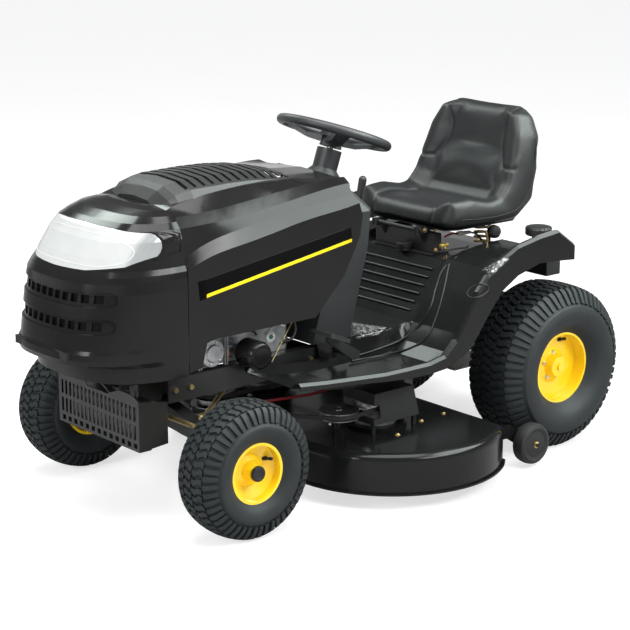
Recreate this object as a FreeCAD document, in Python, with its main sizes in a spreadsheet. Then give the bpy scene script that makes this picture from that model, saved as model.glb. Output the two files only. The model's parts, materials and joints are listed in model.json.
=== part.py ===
import FreeCAD, Part
import math
import os
import Sketcher
from FreeCAD import Placement, Rotation, Vector

# Riding lawn mower: a garden tractor with a mid-mounted two-blade deck.
# Working axes: X to the tractor's left, Y towards its rear, Z up, with Y = 0 over the front axle,
# X = 0 in the middle and Z = 0 on the ground. Every sub-part is then placed so that the origin
# is on the ground under the middle of the whole machine.

SIZES = {
    # running gear
    "wheelbase": 1205, "front_track": 789, "rear_track": 705,
    "front_tyre_radius": 190, "front_tyre_width": 150, "front_bead_radius": 80,
    "rear_tyre_radius": 254, "rear_tyre_width": 200, "rear_bead_radius": 106,
    "tread_drop": 6, "rim_wall": 3, "front_hub_radius": 22, "rear_hub_radius": 30, "axle_radius": 9.5, "running_gap": 0.05,
    # frame
    "rail_outside": 180, "rail_flange": 32, "rail_wall": 4, "rail_bottom": 338, "rail_height": 67,
    "rail_front": -90, "rail_back": 1320, "drawbar_wall": 6, "hitch_radius": 9.5, "drawbar_back": 1388,
    "drawbar_height": 268,
    # front axle and steering
    "kingpin_x": 290, "kingpin_radius": 9.5, "axle_pivot_z": 268, "axle_pivot_radius": 12, "beam_depth": 44,
    "kingpin_boss_radius": 20, "kingpin_boss_bottom": 208, "kingpin_boss_height": 56,
    "steer_arm": 75, "steer_arm_z": 272, "arm_wall": 8, "ball_radius": 9, "tie_rod_radius": 7,
    "column_tilt": 19.8, "wheel_centre_y": 654.6, "wheel_centre_z": 980.7,
    "steering_wheel_radius": 160, "steering_rim_radius": 14, "steering_shaft_radius": 9, "knuckle_z": 452,
    "pinion_radius": 15, "sector_radius": 105, "sector_z": 352, "plate_z": 372, "pinion_shaft_radius": 8,
    # hood
    "nose_reach": 385, "hood_half_width": 250, "hood_wall": 3, "seam_y": -70, "hood_gap": 2,
    "hood_hinge_y": -230, "hood_hinge_z": 402, "hood_hinge_radius": 6, "hood_hinge_x": 110,
    "louver_half_width": 175, "louver_rise": 25, "slot_width": 11, "slot_pitch": 30, "slot_count": 12,
    "slot_half_length": 130,
    "grille_hole": 22, "grille_pitch": 31, "grille_count": 12, "grille_high_z": 660, "grille_low_z": 588,
    "grille_half_width": 212, "grille_frame": 46, "grille_depth": 6,
    # body
    "fender_half_width": 440, "fender_wall": 3, "footrest_z": 345, "tunnel_z": 414, "tunnel_half_width": 200,
    "deck_z": 590, "fender_top": 680, "fender_front": 158, "fender_back": 1232,
    "dash_half_width": 205, "dash_top": 782, "dash_front": 500, "dash_back": 640, "column_radius": 37,
    "seat_half_width": 232, "seat_front": 925, "seat_back": 1340, "seat_top": 1016, "seat_pan_z": 672,
    "seat_hinge_y": 912, "seat_hinge_z": 668, "seat_hinge_radius": 6, "pan_wall": 4,
    # engine
    "engine_half_width": 140, "engine_front": -10, "engine_back": 380, "engine_bottom": 405, "engine_height": 110,
    "crank_y": 200, "crank_radius": 14, "shroud_height": 150, "oil_filter_radius": 41, "oil_filter_length": 78,
    "oil_filter_y": 171, "oil_filter_z": 440,
    "guard_front": -200, "guard_bottom": 225, "guard_height": 155, "guard_half_width": 195, "guard_wall": 2.5,
    # mower deck
    "deck_half_length": 266, "deck_end_radius": 290, "deck_left_radius": 342, "deck_centre_y": 590, "deck_rim_z": 48, "deck_top_z": 165,
    "deck_wall": 3, "blade_radius": 254, "blade_z": 74, "blade_wall": 5, "blade_width": 58,
    "spindle_radius": 12.7, "spindle_x": 262, "pulley_z": 232, "pulley_radius": 68, "pulley_height": 22,
    "idler_radius": 58, "idler_x": 286, "idler_y": 428, "chute_reach": 600, "deflector_reach": 722,
    "deflector_hinge_z": 176, "gauge_wheel_radius": 62, "gauge_wheel_x": 500, "gauge_wheel_y": 1000,
    "gauge_wheel_width": 44, "deck_link_x": 136,
    # controls
    "lift_shaft_y": 960, "lift_shaft_z": 368, "lift_shaft_radius": 9, "lift_lever_x": 300, "lift_arm": 125,
    "lever_length": 385, "pedal_shaft_y": 505, "pedal_shaft_z": 386, "pedal_x": 272, "pedal_y": 412,
    "pedal_z": 462,
}

doc = FreeCAD.newDocument("RidingMower")
sheet = doc.addObject("Spreadsheet::Sheet", "Sizes")
for row, (name, value) in enumerate(SIZES.items(), 1):
    sheet.set(f"A{row}", name)
    sheet.set(f"B{row}", str(value))
    sheet.setAlias(f"B{row}", name)
doc.recompute()


class Size:
    """A length or angle from the sheet, or one worked out from several, with its value."""

    def __init__(self, value, text):
        self.value = float(value)
        self.text = text

    def __add__(self, other):
        return combined(self, "+", other)

    def __radd__(self, other):
        return combined(other, "+", self)

    def __sub__(self, other):
        return combined(self, "-", other)

    def __rsub__(self, other):
        return combined(other, "-", self)

    def __mul__(self, other):
        return combined(self, "*", other)

    def __rmul__(self, other):
        return combined(other, "*", self)

    def __truediv__(self, other):
        return combined(self, "/", other)

    def __neg__(self):
        return combined(0, "-", self)

    def __float__(self):
        return self.value


def as_size(value):
    return value if isinstance(value, Size) else Size(value, repr(float(value)))


def combined(left, sign, right):
    left, right = as_size(left), as_size(right)
    value = {
        "+": left.value + right.value,
        "-": left.value - right.value,
        "*": left.value * right.value,
        "/": left.value / (right.value or 1),
    }[sign]
    return Size(value, f"({left.text} {sign} {right.text})")


def sine(angle):
    return Size(math.sin(math.radians(angle.value)), f"sin({angle.text})")


def cosine(angle):
    return Size(math.cos(math.radians(angle.value)), f"cos({angle.text})")


class Sheet:
    """Reads the driving sizes by name."""

    def __getattr__(self, name):
        return Size(sheet.get(name), "Sizes." + name)


d = Sheet()
nodes = []
places = {}

# The deflector reaches further right than the deck reaches left.
deck_reach = d.deck_half_length + d.deck_left_radius
centre_x = (deck_reach - d.deflector_reach) / 2
centre_y = (d.wheelbase + d.rear_tyre_radius - d.nose_reach) / 2

# The pinion stands where the tilted column's axis meets the knuckle.
column_slope = sine(d.column_tilt) / cosine(d.column_tilt)
steering_y = d.wheel_centre_y - (d.wheel_centre_z - d.knuckle_z) * column_slope


# ---------------------------------------------------------------- helpers

def bind(thing, path, value):
    value = as_size(value)
    thing.setExpression(path, value.text)


def bind_place(thing, at):
    places[thing.Name] = at
    for axis, value in zip("xyz", at):
        bind(thing, "Placement.Base." + axis, value)


def node(label, thing):
    """Names a sub-part and moves it from the working axes to the machine's own frame."""
    thing.Label = label
    if thing.TypeId == "Part::Feature":
        shift = Placement(Vector(-centre_x, -centre_y, 0), Rotation())
        thing.Placement = shift.multiply(thing.Placement)
    else:
        x, y, z = places.get(thing.Name, (0, 0, 0))
        bind_place(thing, (x - centre_x, y - centre_y, z))
    nodes.append(thing)
    return thing


TURNS = {
    "X": Rotation(Vector(0, 1, 0), 90),
    "Y": Rotation(Vector(1, 0, 0), -90),
    "Z": Rotation(),
}


def primitive(kind, at, along="Z", **sizes):
    thing = doc.addObject("Part::" + kind, kind)
    turn = TURNS[along] if isinstance(along, str) else along
    thing.Placement = Placement(Vector(), turn)
    for name, value in sizes.items():
        bind(thing, name, value)
    bind_place(thing, at)
    return thing


def rod(radius, length, at, along="Z"):
    return primitive("Cylinder", at, along, Radius=radius, Height=length)


def block(length, width, height, at):
    return primitive("Box", at, Length=length, Width=width, Height=height)


def ball(radius, at):
    return primitive("Sphere", at, Radius=radius)


def cone(low, high, length, at, along="Z"):
    return primitive("Cone", at, along, Radius1=low, Radius2=high, Height=length)


def bar(start, end, radius):
    """A round bar between two points, its ends and length following the sheet."""
    first, last = [Vector(*point) for point in (start, end)]
    thing = doc.addObject("Part::Feature", "Bar")
    way = last - first
    thing.Shape = Part.makeCylinder(float(radius), way.Length, first, way)
    return thing


def fused(*pieces):
    if len(pieces) == 1:
        return pieces[0]
    thing = doc.addObject("Part::MultiFuse", "Fusion")
    thing.Shapes = list(pieces)
    return thing


def cut(base, *tools):
    thing = doc.addObject("Part::Cut", "Cut")
    thing.Base = base
    thing.Tool = fused(*tools)
    return thing


def group(*pieces):
    thing = doc.addObject("Part::Compound", "Group")
    thing.Links = list(pieces)
    return thing


def feature(shape):
    thing = doc.addObject("Part::Feature", "Formed")
    thing.Shape = shape
    return thing


def new_body():
    return doc.addObject("PartDesign::Body", "Body")


def origin_plane(body, role):
    return next(item for item in body.Origin.OriginFeatures if item.Role == role)


def sketch(body, plane, start, corners=(), circles=()):
    """A bound outline at a distance along one of the body's origin planes.

    A corner's third value is the radius of an arc to the next corner. The arc swells to
    the left of the way there when it is above zero, and to the right when it is below.
    A half circle stands on an upright chord, and its centre is held in line with it.
    """
    drawing = body.newObject("Sketcher::SketchObject", "Sketch")
    drawing.AttachmentSupport = (origin_plane(body, plane + "_Plane"), [""])
    drawing.MapMode = "FlatFace"
    bind(drawing, "AttachmentOffset.Base.z", -start if plane == "XZ" else start)
    rules, values, ends = [], [], []

    def rule(size, kind, *where):
        values.append((len(rules), size))
        rules.append(Sketcher.Constraint(kind, *where, as_size(size).value))

    for index, corner in enumerate(corners):
        following = corners[(index + 1) % len(corners)]
        first = Vector(corner[0], corner[1], 0)
        last = Vector(following[0], following[1], 0)
        if len(corner) == 2:
            ends.append((drawing.addGeometry(Part.LineSegment(first, last), False), 1, 2))
            continue
        radius = as_size(corner[2])
        reach, swell = abs(radius.value), math.copysign(1, radius.value)
        half = (last - first).Length / 2
        drop = math.sqrt(max(reach * reach - half * half, 0))
        left = Vector(first.y - last.y, last.x - first.x, 0).normalize()
        centre = (first + last) * 0.5 - left * drop * swell
        begin, finish = (last, first) if swell > 0 else (first, last)
        angles = [math.atan2(point.y - centre.y, point.x - centre.x) for point in (begin, finish)]
        if angles[1] < angles[0]:
            angles[1] += 2 * math.pi
        curve = Part.ArcOfCircle(Part.Circle(centre, Vector(0, 0, 1), reach), *angles)
        number = drawing.addGeometry(curve, False)
        ends.append((number, 2, 1) if swell > 0 else (number, 1, 2))
        if drop < 0.01:
            rule(corner[0], "DistanceX", -1, 1, number, 3)
        else:
            rule(radius if radius.value > 0 else -radius, "Radius", number)
    for index, (number, start_end, last_end) in enumerate(ends):
        following = ends[(index + 1) % len(ends)]
        rules.append(Sketcher.Constraint("Coincident", number, last_end, following[0], following[1]))
        rule(corners[index][0], "DistanceX", -1, 1, number, start_end)
        rule(corners[index][1], "DistanceY", -1, 1, number, start_end)
    for across, up, radius in circles:
        round_hole = Part.Circle(Vector(across, up, 0), Vector(0, 0, 1), float(radius))
        number = drawing.addGeometry(round_hole, False)
        rule(across, "DistanceX", -1, 1, number, 3)
        rule(up, "DistanceY", -1, 1, number, 3)
        rule(radius, "Radius", number)
    drawing.addConstraint(rules)
    for number, size in values:
        bind(drawing, f"Constraints[{number}]", size)
    return drawing


def pad(body, plane, start, length, corners=(), circles=(), taper=0):
    """Adds material from a place on the plane's axis towards its high side."""
    thing = body.newObject("PartDesign::Pad", "Pad")
    thing.Profile = sketch(body, plane, start, corners, circles)
    thing.Reversed = plane == "XZ"
    thing.TaperAngle = taper
    bind(thing, "Length", length)
    return thing


def pocket(body, plane, start, length, corners=(), circles=()):
    """Takes material away from a place on the plane's axis towards its high side."""
    thing = body.newObject("PartDesign::Pocket", "Pocket")
    thing.Profile = sketch(body, plane, start, corners, circles)
    thing.Reversed = plane != "XZ"
    bind(thing, "Length", length)
    return thing


def spin(body, plane, corners, axis):
    """Turns an outline round the sketch's own H_Axis or V_Axis."""
    thing = body.newObject("PartDesign::Revolution", "Turned")
    profile = sketch(body, plane, 0, corners)
    thing.Profile = profile
    thing.ReferenceAxis = (profile, [axis])
    thing.Angle = 360
    return thing


def turned(corners, at, plane="XY", axis="H_Axis"):
    """A body of revolution at its own place, as a cut or fusion can use it."""
    body = new_body()
    spin(body, plane, corners, axis)
    bind_place(body, at)
    return body


def row_of(body, source, direction, pitch, count):
    """Repeats a feature along one of the body's origin axes."""
    thing = body.newObject("PartDesign::LinearPattern", "Row")
    thing.Originals = [source]
    thing.Direction = (origin_plane(body, direction + "_Axis"), [""])
    thing.Length = float(pitch) * (count - 1)
    bind(thing, "Length", pitch * (count - 1))
    thing.Occurrences = count
    body.Tip = thing
    return thing


def softened(body, radius, wanted):
    """Fillets the edges that the given test picks."""
    doc.recompute()
    base = body.Tip
    names = [f"Edge{number}" for number, edge in enumerate(base.Shape.Edges, 1) if wanted(edge)]
    thing = body.newObject("PartDesign::Fillet", "Fillet")
    thing.Base = (base, names)
    bind(thing, "Radius", radius)
    return thing


def plate(plane, start, length, corners=(), circles=(), taper=0):
    body = new_body()
    pad(body, plane, start, length, corners, circles, taper)
    return body


def loft(sections, ruled=False):
    """A closed solid through closed outlines, each a list of points."""
    wires = [Part.makePolygon(points + points[:1]) for points in sections]
    return Part.makeLoft(wires, True, ruled)


def rectangle(x_low, x_high, y_low, y_high):
    return [(x_low, y_low), (x_high, y_low), (x_high, y_high), (x_low, y_high)]


SIDES = (("left", 1), ("right", -1))


# ---------------------------------------------------------------- frame

def frame_rail(side):
    """A pressed channel with its open side inwards, bored for the lift shaft."""
    outer = d.rail_outside * side
    inner = (d.rail_outside - d.rail_flange) * side
    skin = (d.rail_outside - d.rail_wall) * side
    low, high = d.rail_bottom, d.rail_bottom + d.rail_height
    body = plate("XZ", d.rail_front, d.rail_back - d.rail_front, [
        (inner, low), (outer, low), (outer, high), (inner, high),
        (inner, high - d.rail_wall), (skin, high - d.rail_wall), (skin, low + d.rail_wall),
        (inner, low + d.rail_wall)])
    lift = (d.lift_shaft_y, d.lift_shaft_z, d.lift_shaft_radius + d.running_gap)
    pedal = (d.pedal_shaft_y, d.pedal_shaft_z, d.lift_shaft_radius + d.running_gap)
    pocket(body, "YZ", -d.rail_outside - 5, d.rail_outside * 2 + 10, circles=[lift, pedal])
    return body


def front_cross_member():
    """A channel across the rails with a hanging bracket and the pin that the axle rocks on."""
    inside = d.rail_outside - d.rail_wall
    lip = d.rail_outside - d.rail_flange - 2
    foot = d.rail_bottom + d.rail_wall
    top = d.rail_bottom + d.rail_height - d.rail_wall
    outline = [
        (-inside, foot), (-lip, foot), (-70, foot - 8), (-40, d.axle_pivot_z - 26), (40, d.axle_pivot_z - 26),
        (70, foot - 8), (lip, foot), (inside, foot), (inside, top), (-inside, top)]
    cross = plate("XZ", -d.beam_depth / 2 - 12, 5, outline)
    behind = plate("XZ", d.beam_depth / 2 + 7, 5, outline)
    pin = rod(d.axle_pivot_radius, d.beam_depth + 44, (0, -d.beam_depth / 2 - 22, d.axle_pivot_z), "Y")
    web = block(120, d.beam_depth + 24, 5, (-60, -d.beam_depth / 2 - 12, top - 5))
    return fused(cross, behind, pin, web)


def hood_hinge_ears():
    """Two arms that reach forward over the guard, with the hood's hinge pin through them."""
    ears = []
    for side in (1, -1):
        x = d.hood_hinge_x * side - 4
        outline = [
            (d.hood_hinge_y - 14, d.hood_hinge_z - 10), (d.hood_hinge_y + 14, d.hood_hinge_z - 12),
            (d.rail_front + 80, d.rail_bottom + 46), (d.rail_front + 80, d.rail_bottom + 62),
            (d.hood_hinge_y, d.hood_hinge_z + 14)]
        ears.append(plate("YZ", x, 8, outline))
    pin = rod(d.hood_hinge_radius, d.hood_hinge_x * 2 + 80, (-d.hood_hinge_x - 40, d.hood_hinge_y, d.hood_hinge_z), "X")
    return ears + [pin]


def rear_drawbar():
    """The plate across the frame's tail, folded out below into a shelf with the hitch hole."""
    low, high = d.drawbar_height, d.rail_bottom + d.rail_height
    body = plate("YZ", -d.rail_outside, d.rail_outside * 2, [
        (d.rail_back, low), (d.drawbar_back, low), (d.drawbar_back, low + d.drawbar_wall),
        (d.rail_back + d.drawbar_wall, low + d.drawbar_wall), (d.rail_back + d.drawbar_wall, high),
        (d.rail_back, high)])
    pocket(body, "XY", low - 5, d.drawbar_wall + 10, circles=[(0, d.drawbar_back - 24, d.hitch_radius)])
    softened(body, 24, lambda edge: abs(edge.Length - float(d.drawbar_wall)) < 0.01
             and edge.CenterOfMass.y > float(d.drawbar_back) - 1)
    return body


def muffler_guard():
    """A perforated tray round the muffler: slotted front, two short sides."""
    wide, low, high = d.guard_half_width, d.guard_bottom, d.guard_bottom + d.guard_height
    front = d.guard_front
    body = plate("XZ", front, d.guard_wall, [
        (-wide, low), (wide, low), (wide, high - 14), (wide - 30, high), (70, high), (50, high - 22),
        (-50, high - 22), (-70, high), (30 - wide, high), (-wide, high - 14)])
    for side in (1, -1):
        x = wide - d.guard_wall if side > 0 else -wide
        pad(body, "YZ", x, d.guard_wall, [
            (front, low), (front + 95, low + 8), (front + 95, high - 30), (front, high - 14)])
    pad(body, "XY", low, d.guard_wall, rectangle(-wide, wide, front, front + 40))
    for shelf in (0, 1):
        bottom = low + 32 + shelf * 52
        slot = pocket(body, "XZ", front - 1, d.guard_wall + 2, rectangle(14 - wide, 24 - wide, bottom, bottom + 40))
        row_of(body, slot, "X", 19.5, 19)
    holes = pocket(body, "XZ", front - 1, d.guard_wall + 2, rectangle(16 - wide, 32 - wide, low + 8, low + 22))
    row_of(body, holes, "X", 29, 13)
    return body


def bolt_heads():
    """Hexagon flange bolts along the rails and the guard."""
    heads = []
    for side in (1, -1):
        for y in (d.rail_front + 22, d.rail_front + 74, d.engine_back + 30, d.lift_shaft_y - 60, d.rail_back - 30):
            start = d.rail_outside if side > 0 else -d.rail_outside - 7
            hexagon = [(y + 8 * math.cos(math.pi * k / 3), d.rail_bottom + 34 + 8 * math.sin(math.pi * k / 3))
                       for k in range(6)]
            heads.append(plate("YZ", start, 7, hexagon))
    return group(*heads)


# ---------------------------------------------------------------- engine

def engine_block():
    """Crankcase with a flat sump, two finned cylinders and the crankshaft pointing down."""
    wide, front, back = d.engine_half_width, d.engine_front, d.engine_back
    low, high = d.engine_bottom, d.engine_bottom + d.engine_height
    case = plate("XY", low, d.engine_height, [
        (-wide, front + 30), (-wide + 30, front), (wide - 30, front), (wide, front + 30),
        (wide, back - 30), (wide - 30, back), (-wide + 30, back), (-wide, back - 30)])
    softened(case, 8, lambda edge: edge.CenterOfMass.z > float(high) - 0.1)
    fins = []
    for side in (1, -1):
        for level in range(5):
            x = wide - 15 if side > 0 else -wide - 30
            fins.append(block(45, 130, 5, (x, front + 20, low + 16 + level * 17)))
        fins.append(block(36, 110, 84, (wide - 12 if side > 0 else -wide - 24, front + 30, low + 12)))
    crank = rod(d.crank_radius, low - d.pulley_z + 20, (0, d.crank_y, d.pulley_z - 20))
    spigot = rod(15, 40, (wide - 5, d.oil_filter_y, d.oil_filter_z), "X")
    return fused(case, crank, spigot, *fins)


def blower_housing():
    """The round fan cover over the flywheel, with a raised screened intake."""
    base = d.engine_bottom + d.engine_height + 0.2
    radius = d.engine_half_width - 4
    body = turned([
        (0, 0), (radius, 0), (radius, d.shroud_height - 60), (radius - 34, d.shroud_height - 22),
        (92, d.shroud_height - 18), (90, d.shroud_height), (0, d.shroud_height)],
        (0, d.crank_y - 10, base), "XZ", "V_Axis")
    canister = block(150, 74, 96, (-75, d.engine_front + 2, base))
    return fused(body, canister)


def oil_filter():
    """A spun canister: open gasket end on the block, fluted drive end outwards."""
    length, radius = d.oil_filter_length, d.oil_filter_radius
    start = d.engine_half_width + 42
    return turned([
        (0, 0), (0, radius - 4), (6, radius - 1), (9, radius), (length - 14, radius),
        (length - 5, radius - 4, 9), (length, radius - 15), (length, 0)],
        (start, d.oil_filter_y, d.oil_filter_z))


def muffler():
    """A flattened canister across the front of the engine, with its outlet pipe."""
    low, high = d.guard_bottom + 12, d.guard_bottom + d.guard_height - 34
    front = d.guard_front + 14
    body = plate("YZ", -d.guard_half_width + 40, d.guard_half_width * 2 - 80, [
        (front + 14, low), (front + 66, low), (front + 78, low + 16), (front + 78, high - 16),
        (front + 66, high), (front + 14, high), (front, high - 16), (front, low + 16)])
    pipe = bar((d.guard_half_width - 45, front + 30, low + 40), (d.guard_half_width - 16, front + 30, low + 40), 13)
    riser = bar((90, front + 48, high - 10), (90, front + 48, d.rail_bottom + 84), 14)
    return fused(body, pipe, riser)


# ---------------------------------------------------------------- hood

# place along the machine, then the heights of the crown, the upper band's two edges and the lower band's two
HOOD_ROWS = [
    (-70, 872, 850, 824, 742, 716), (0, 890, 852, 826, 775, 742), (100, 902, 857, 830, 797, 760),
    (200, 908, 867, 839, 811, 775), (300, 908, 878, 852, 824, 793), (400, 903, 887, 866, 835, 806),
    (500, 896, 891, 876, 845, 817), (600, 886, 881, 868, 850, 825)]


def hood_outline(y, crown, high, low, ledge, hem, inset):
    """One cross-section: a straight side, two sloping bands with a wall between them, and a low crown."""
    wide = float(d.hood_half_width) - inset
    half = [
        (wide, 400), (wide, hem), (wide - 18, ledge), (wide - 31, low), (wide - 57, high),
        (wide - 96, crown - 8), (wide - 158, crown - 4)]
    half = [(x, z - (inset if z > low else inset * 0.4)) for x, z in half]
    left = [Vector(x, y, z) for x, z in half]
    right = [Vector(-x, y, z) for x, z in reversed(half)]
    return left + [Vector(0, y, crown - inset)] + right


def side_cut(corners, margin=20):
    """A slab right across the machine with the given side outline."""
    reach = float(d.hood_half_width) + margin
    points = [Vector(-reach, y, z) for y, z in corners]
    face = Part.Face(Part.makePolygon(points + points[:1]))
    return face.extrude(Vector(2 * reach, 0, 0))


def hood_solid(inset):
    return loft([hood_outline(*row, inset) for row in HOOD_ROWS])


def hood_shell():
    """The pressed hood behind the nose: a lofted skin trimmed to the side outline."""
    opening = Part.makeBox(250, 375, 200, Vector(-125, 5, 800))
    seam = float(d.seam_y)
    outline = [
        (seam + 1, 436), (-26, 443), (-8, 515), (372, 516), (480, 622), (538, 730), (547, 787),
        (520, 862), (536, 940), (seam + 1, 940)]
    return feature(hood_solid(0).cut([hood_solid(float(d.hood_wall)), opening]).common(side_cut(outline)))


# height, reach ahead of the front axle and half width, from the skirt to the crown
NOSE_LEVELS = [
    (428, 318, 250), (470, 322, 250), (484, 380, 250), (498, 385, 250), (514, 383, 250), (524, 376, 250),
    (600, 364, 250), (670, 352, 250), (700, 344, 249), (716, 332, 247), (730, 320, 240), (760, 298, 235),
    (800, 266, 229), (826, 238, 219), (842, 206, 204), (856, 168, 184), (866, 128, 150), (872, 98, 104)]


def nose_outline(z, reach, wide, inset):
    """One level of the nose: a rounded front that runs into two straight sides."""
    back = float(d.seam_y) - 1
    depth = reach * float(d.nose_reach) / 385 + back - inset
    wide = wide * float(d.hood_half_width) / 250 - inset
    points = []
    steps = 8
    for step in range(steps + 1):
        angle = math.pi * step / steps
        across, along = math.cos(angle), math.sin(angle)
        x = wide * math.copysign(abs(across) ** 0.72, across)
        points.append(Vector(x, back - depth * along ** 0.78, z))
    front = Part.BSplineCurve()
    front.interpolate(points)
    return Part.Wire([front.toShape(), Part.LineSegment(points[-1], points[0]).toShape()])


def nose_solid(inset):
    levels = list(NOSE_LEVELS)
    low, high = levels[0], levels[-1]
    if inset:
        levels[0] = (low[0] - inset, low[1], low[2])
        levels[-1] = (high[0] - inset, high[1], high[2])
    return Part.makeLoft([nose_outline(z, reach, wide, inset) for z, reach, wide in levels], True, True)


def front_prism(corners):
    """A block through the nose from its front with the given front outline."""
    points = [Vector(x, -500, z) for x, z in corners]
    face = Part.Face(Part.makePolygon(points + points[:1]))
    return face.extrude(Vector(0, 415, 0))


def lens_outline(grow):
    half = [(0, 728 - grow), (120, 731 - grow), (200, 742 - grow), (236 + grow, 770), (243 + grow, 800),
            (215, 822 + grow), (120, 830 + grow), (0, 832 + grow)]
    return half + [(-x, z) for x, z in reversed(half[1:-1])]


def grille_frame(z, shrink):
    """The front outline of one recessed grille row, with rounded ends."""
    half, tall = float(d.grille_half_width) - shrink, float(d.grille_frame) / 2 - shrink
    corner = 10
    side = [(half - corner, -tall), (half, corner - tall), (half, tall - corner), (half - corner, tall)]
    return [(x, z + h) for x, h in side] + [(-x, z + h) for x, h in reversed(side)]


def nose_panel():
    """The moulded nose: lens opening, two recessed grille rows, and the hinge arms inside."""
    wall, sunk = float(d.hood_wall), float(d.grille_depth)
    outside, under = nose_solid(0), nose_solid(wall + sunk)
    skin = outside.cut(nose_solid(wall)).cut(front_prism(lens_outline(1.0)))
    size, pitch = float(d.grille_hole), float(d.grille_pitch)
    count = int(float(d.grille_count))
    for z in (float(d.grille_high_z), float(d.grille_low_z)):
        frame = front_prism(grille_frame(z, 0))
        rim = frame.cut(front_prism(grille_frame(z, wall)))
        floor = nose_solid(sunk).common(frame).cut(under)
        skin = skin.cut(frame).fuse([outside.cut(under).common(rim), floor])
        holes = [Part.makeBox(size, 300, size, Vector((k - (count - 1) / 2) * pitch - size / 2, -450, z - size / 2))
                 for k in range(count)]
        skin = skin.cut(Part.makeCompound(holes))
    arms = []
    hinge_y, hinge_z = float(d.hood_hinge_y), float(d.hood_hinge_z)
    bore = float(d.hood_hinge_radius + d.running_gap)
    for side in (1, -1):
        x = (float(d.hood_hinge_x) + 12) * side - 4
        points = [Vector(x, y, z) for y, z in (
            (hinge_y - 14, hinge_z - 14), (hinge_y + 14, hinge_z - 14), (hinge_y + 14, hinge_z + 16),
            (-300, 520), (-372, 520), (-372, 500), (-310, 470))]
        arm = Part.Face(Part.makePolygon(points + points[:1])).extrude(Vector(8, 0, 0))
        pin = Part.makeCylinder(bore, 40, Vector(x - 10, hinge_y, hinge_z), Vector(1, 0, 0))
        arms.append(arm.cut(pin))
    bracket = Part.makeBox(
        2 * float(d.hood_hinge_x) + 32, 6, 22, Vector(-float(d.hood_hinge_x) - 16, -376, 498))
    return feature(skin.fuse(arms + [bracket]))


def headlight_lens():
    """One wrap-round lens that fills the opening in the nose."""
    wall = float(d.hood_wall)
    return feature(nose_solid(0).cut(nose_solid(wall)).common(front_prism(lens_outline(0))))


# place along the machine, half widths at the foot and the shoulder, height of the crest
COWL_ROWS = [
    (-66, 128, 104, 884), (-40, 152, 122, 908), (-22, 162, 130, 920), (25, 172, 139, 930), (144, 175, 141, 933),
    (232, 175, 141, 932), (317, 171, 138, 925), (393, 158, 126, 908), (432, 146, 114, 894)]


def cowl_solid(inset):
    """The cowl's crowned form, lofted along the hood's middle."""
    sections = []
    for y, foot, shoulder, crest in COWL_ROWS:
        scale = float(d.louver_half_width) / 175
        crest = crest + float(d.louver_rise) - 25 - inset
        half = [
            (foot * scale - inset, 840), (foot * scale - inset, 864), (shoulder * scale - inset, crest - 24),
            (shoulder * scale * 0.62, crest - 6)]
        left = [Vector(x, y, z) for x, z in half]
        right = [Vector(-x, y, z) for x, z in reversed(half)]
        sections.append(left + [Vector(0, y, crest)] + right)
    return loft(sections, True)


def louver_cowl():
    """The raised air intake on the hood's crown, with a row of slots across it."""
    wall, reach = 4, float(d.slot_half_length)
    front, back = COWL_ROWS[0][0] + wall, COWL_ROWS[-1][0] - wall
    room = cowl_solid(wall).common(Part.makeBox(400, back - front, 200, Vector(-200, front, 800)))
    slots = [
        Part.makeBox(2 * reach, float(d.slot_width), 90, Vector(-reach, 14 + step * float(d.slot_pitch), 880))
        for step in range(int(float(d.slot_count)))]
    return feature(cowl_solid(0).cut([room, hood_solid(0)] + slots))


# ---------------------------------------------------------------- body work

def dash_panel():
    """The instrument tower behind the hood, with the boot round the steering column."""
    wide = float(d.dash_half_width)
    top, front, back = float(d.dash_top), float(d.dash_front), float(d.dash_back)
    floor = float(d.tunnel_z) + 0.5
    levels = [
        (floor, front - 84, back - 60, wide - 20), (560, front - 44, back - 24, wide - 16),
        (680, front, back, wide - 8), (top, front + 26, back + 4, wide - 4),
        (top + 44, front + 20, back - 20, wide - 52), (top + 66, front + 26, back - 42, wide - 100)]
    wall = 3

    def level(z, y_low, y_high, half, inset):
        chamfer, half = 26, half - inset
        y_low, y_high = y_low + inset, y_high - inset
        return [
            Vector(-half, y_low, z), Vector(half, y_low, z), Vector(half, y_high - chamfer, z),
            Vector(half - chamfer, y_high, z), Vector(chamfer - half, y_high, z),
            Vector(-half, y_high - chamfer, z)]

    tower = loft([level(*row, 0) for row in levels], True)
    lowest, highest = levels[0], levels[-1]
    hollow = [(lowest[0] - 1, *lowest[1:])] + levels[1:-1] + [(highest[0] - wall, *highest[1:])]
    room = loft([level(*row, wall) for row in hollow], True)
    axis = column_axis()
    base = column_point(820)
    boot = Part.makeCone(96, float(d.column_radius), 62, base, axis)
    sleeve = Part.makeCylinder(float(d.column_radius), 70, base + axis * 50, axis)
    bore = Part.makeCylinder(float(d.steering_shaft_radius) + 3, 700, column_point(400), axis)
    lever = Part.makeBox(12, 84, 120, Vector(-126, 512, top - 20))
    return feature(tower.cut(room).fuse([boot, sleeve]).cut([bore, lever]))


def column_axis():
    tilt = math.radians(float(d.column_tilt))
    return Vector(0, math.sin(tilt), math.cos(tilt))


def column_point(z):
    """Where the steering column's axis passes a height."""
    tilt = math.radians(float(d.column_tilt))
    rise = float(d.wheel_centre_z) - z
    return Vector(0, float(d.wheel_centre_y) - rise * math.tan(tilt), z)


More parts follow.
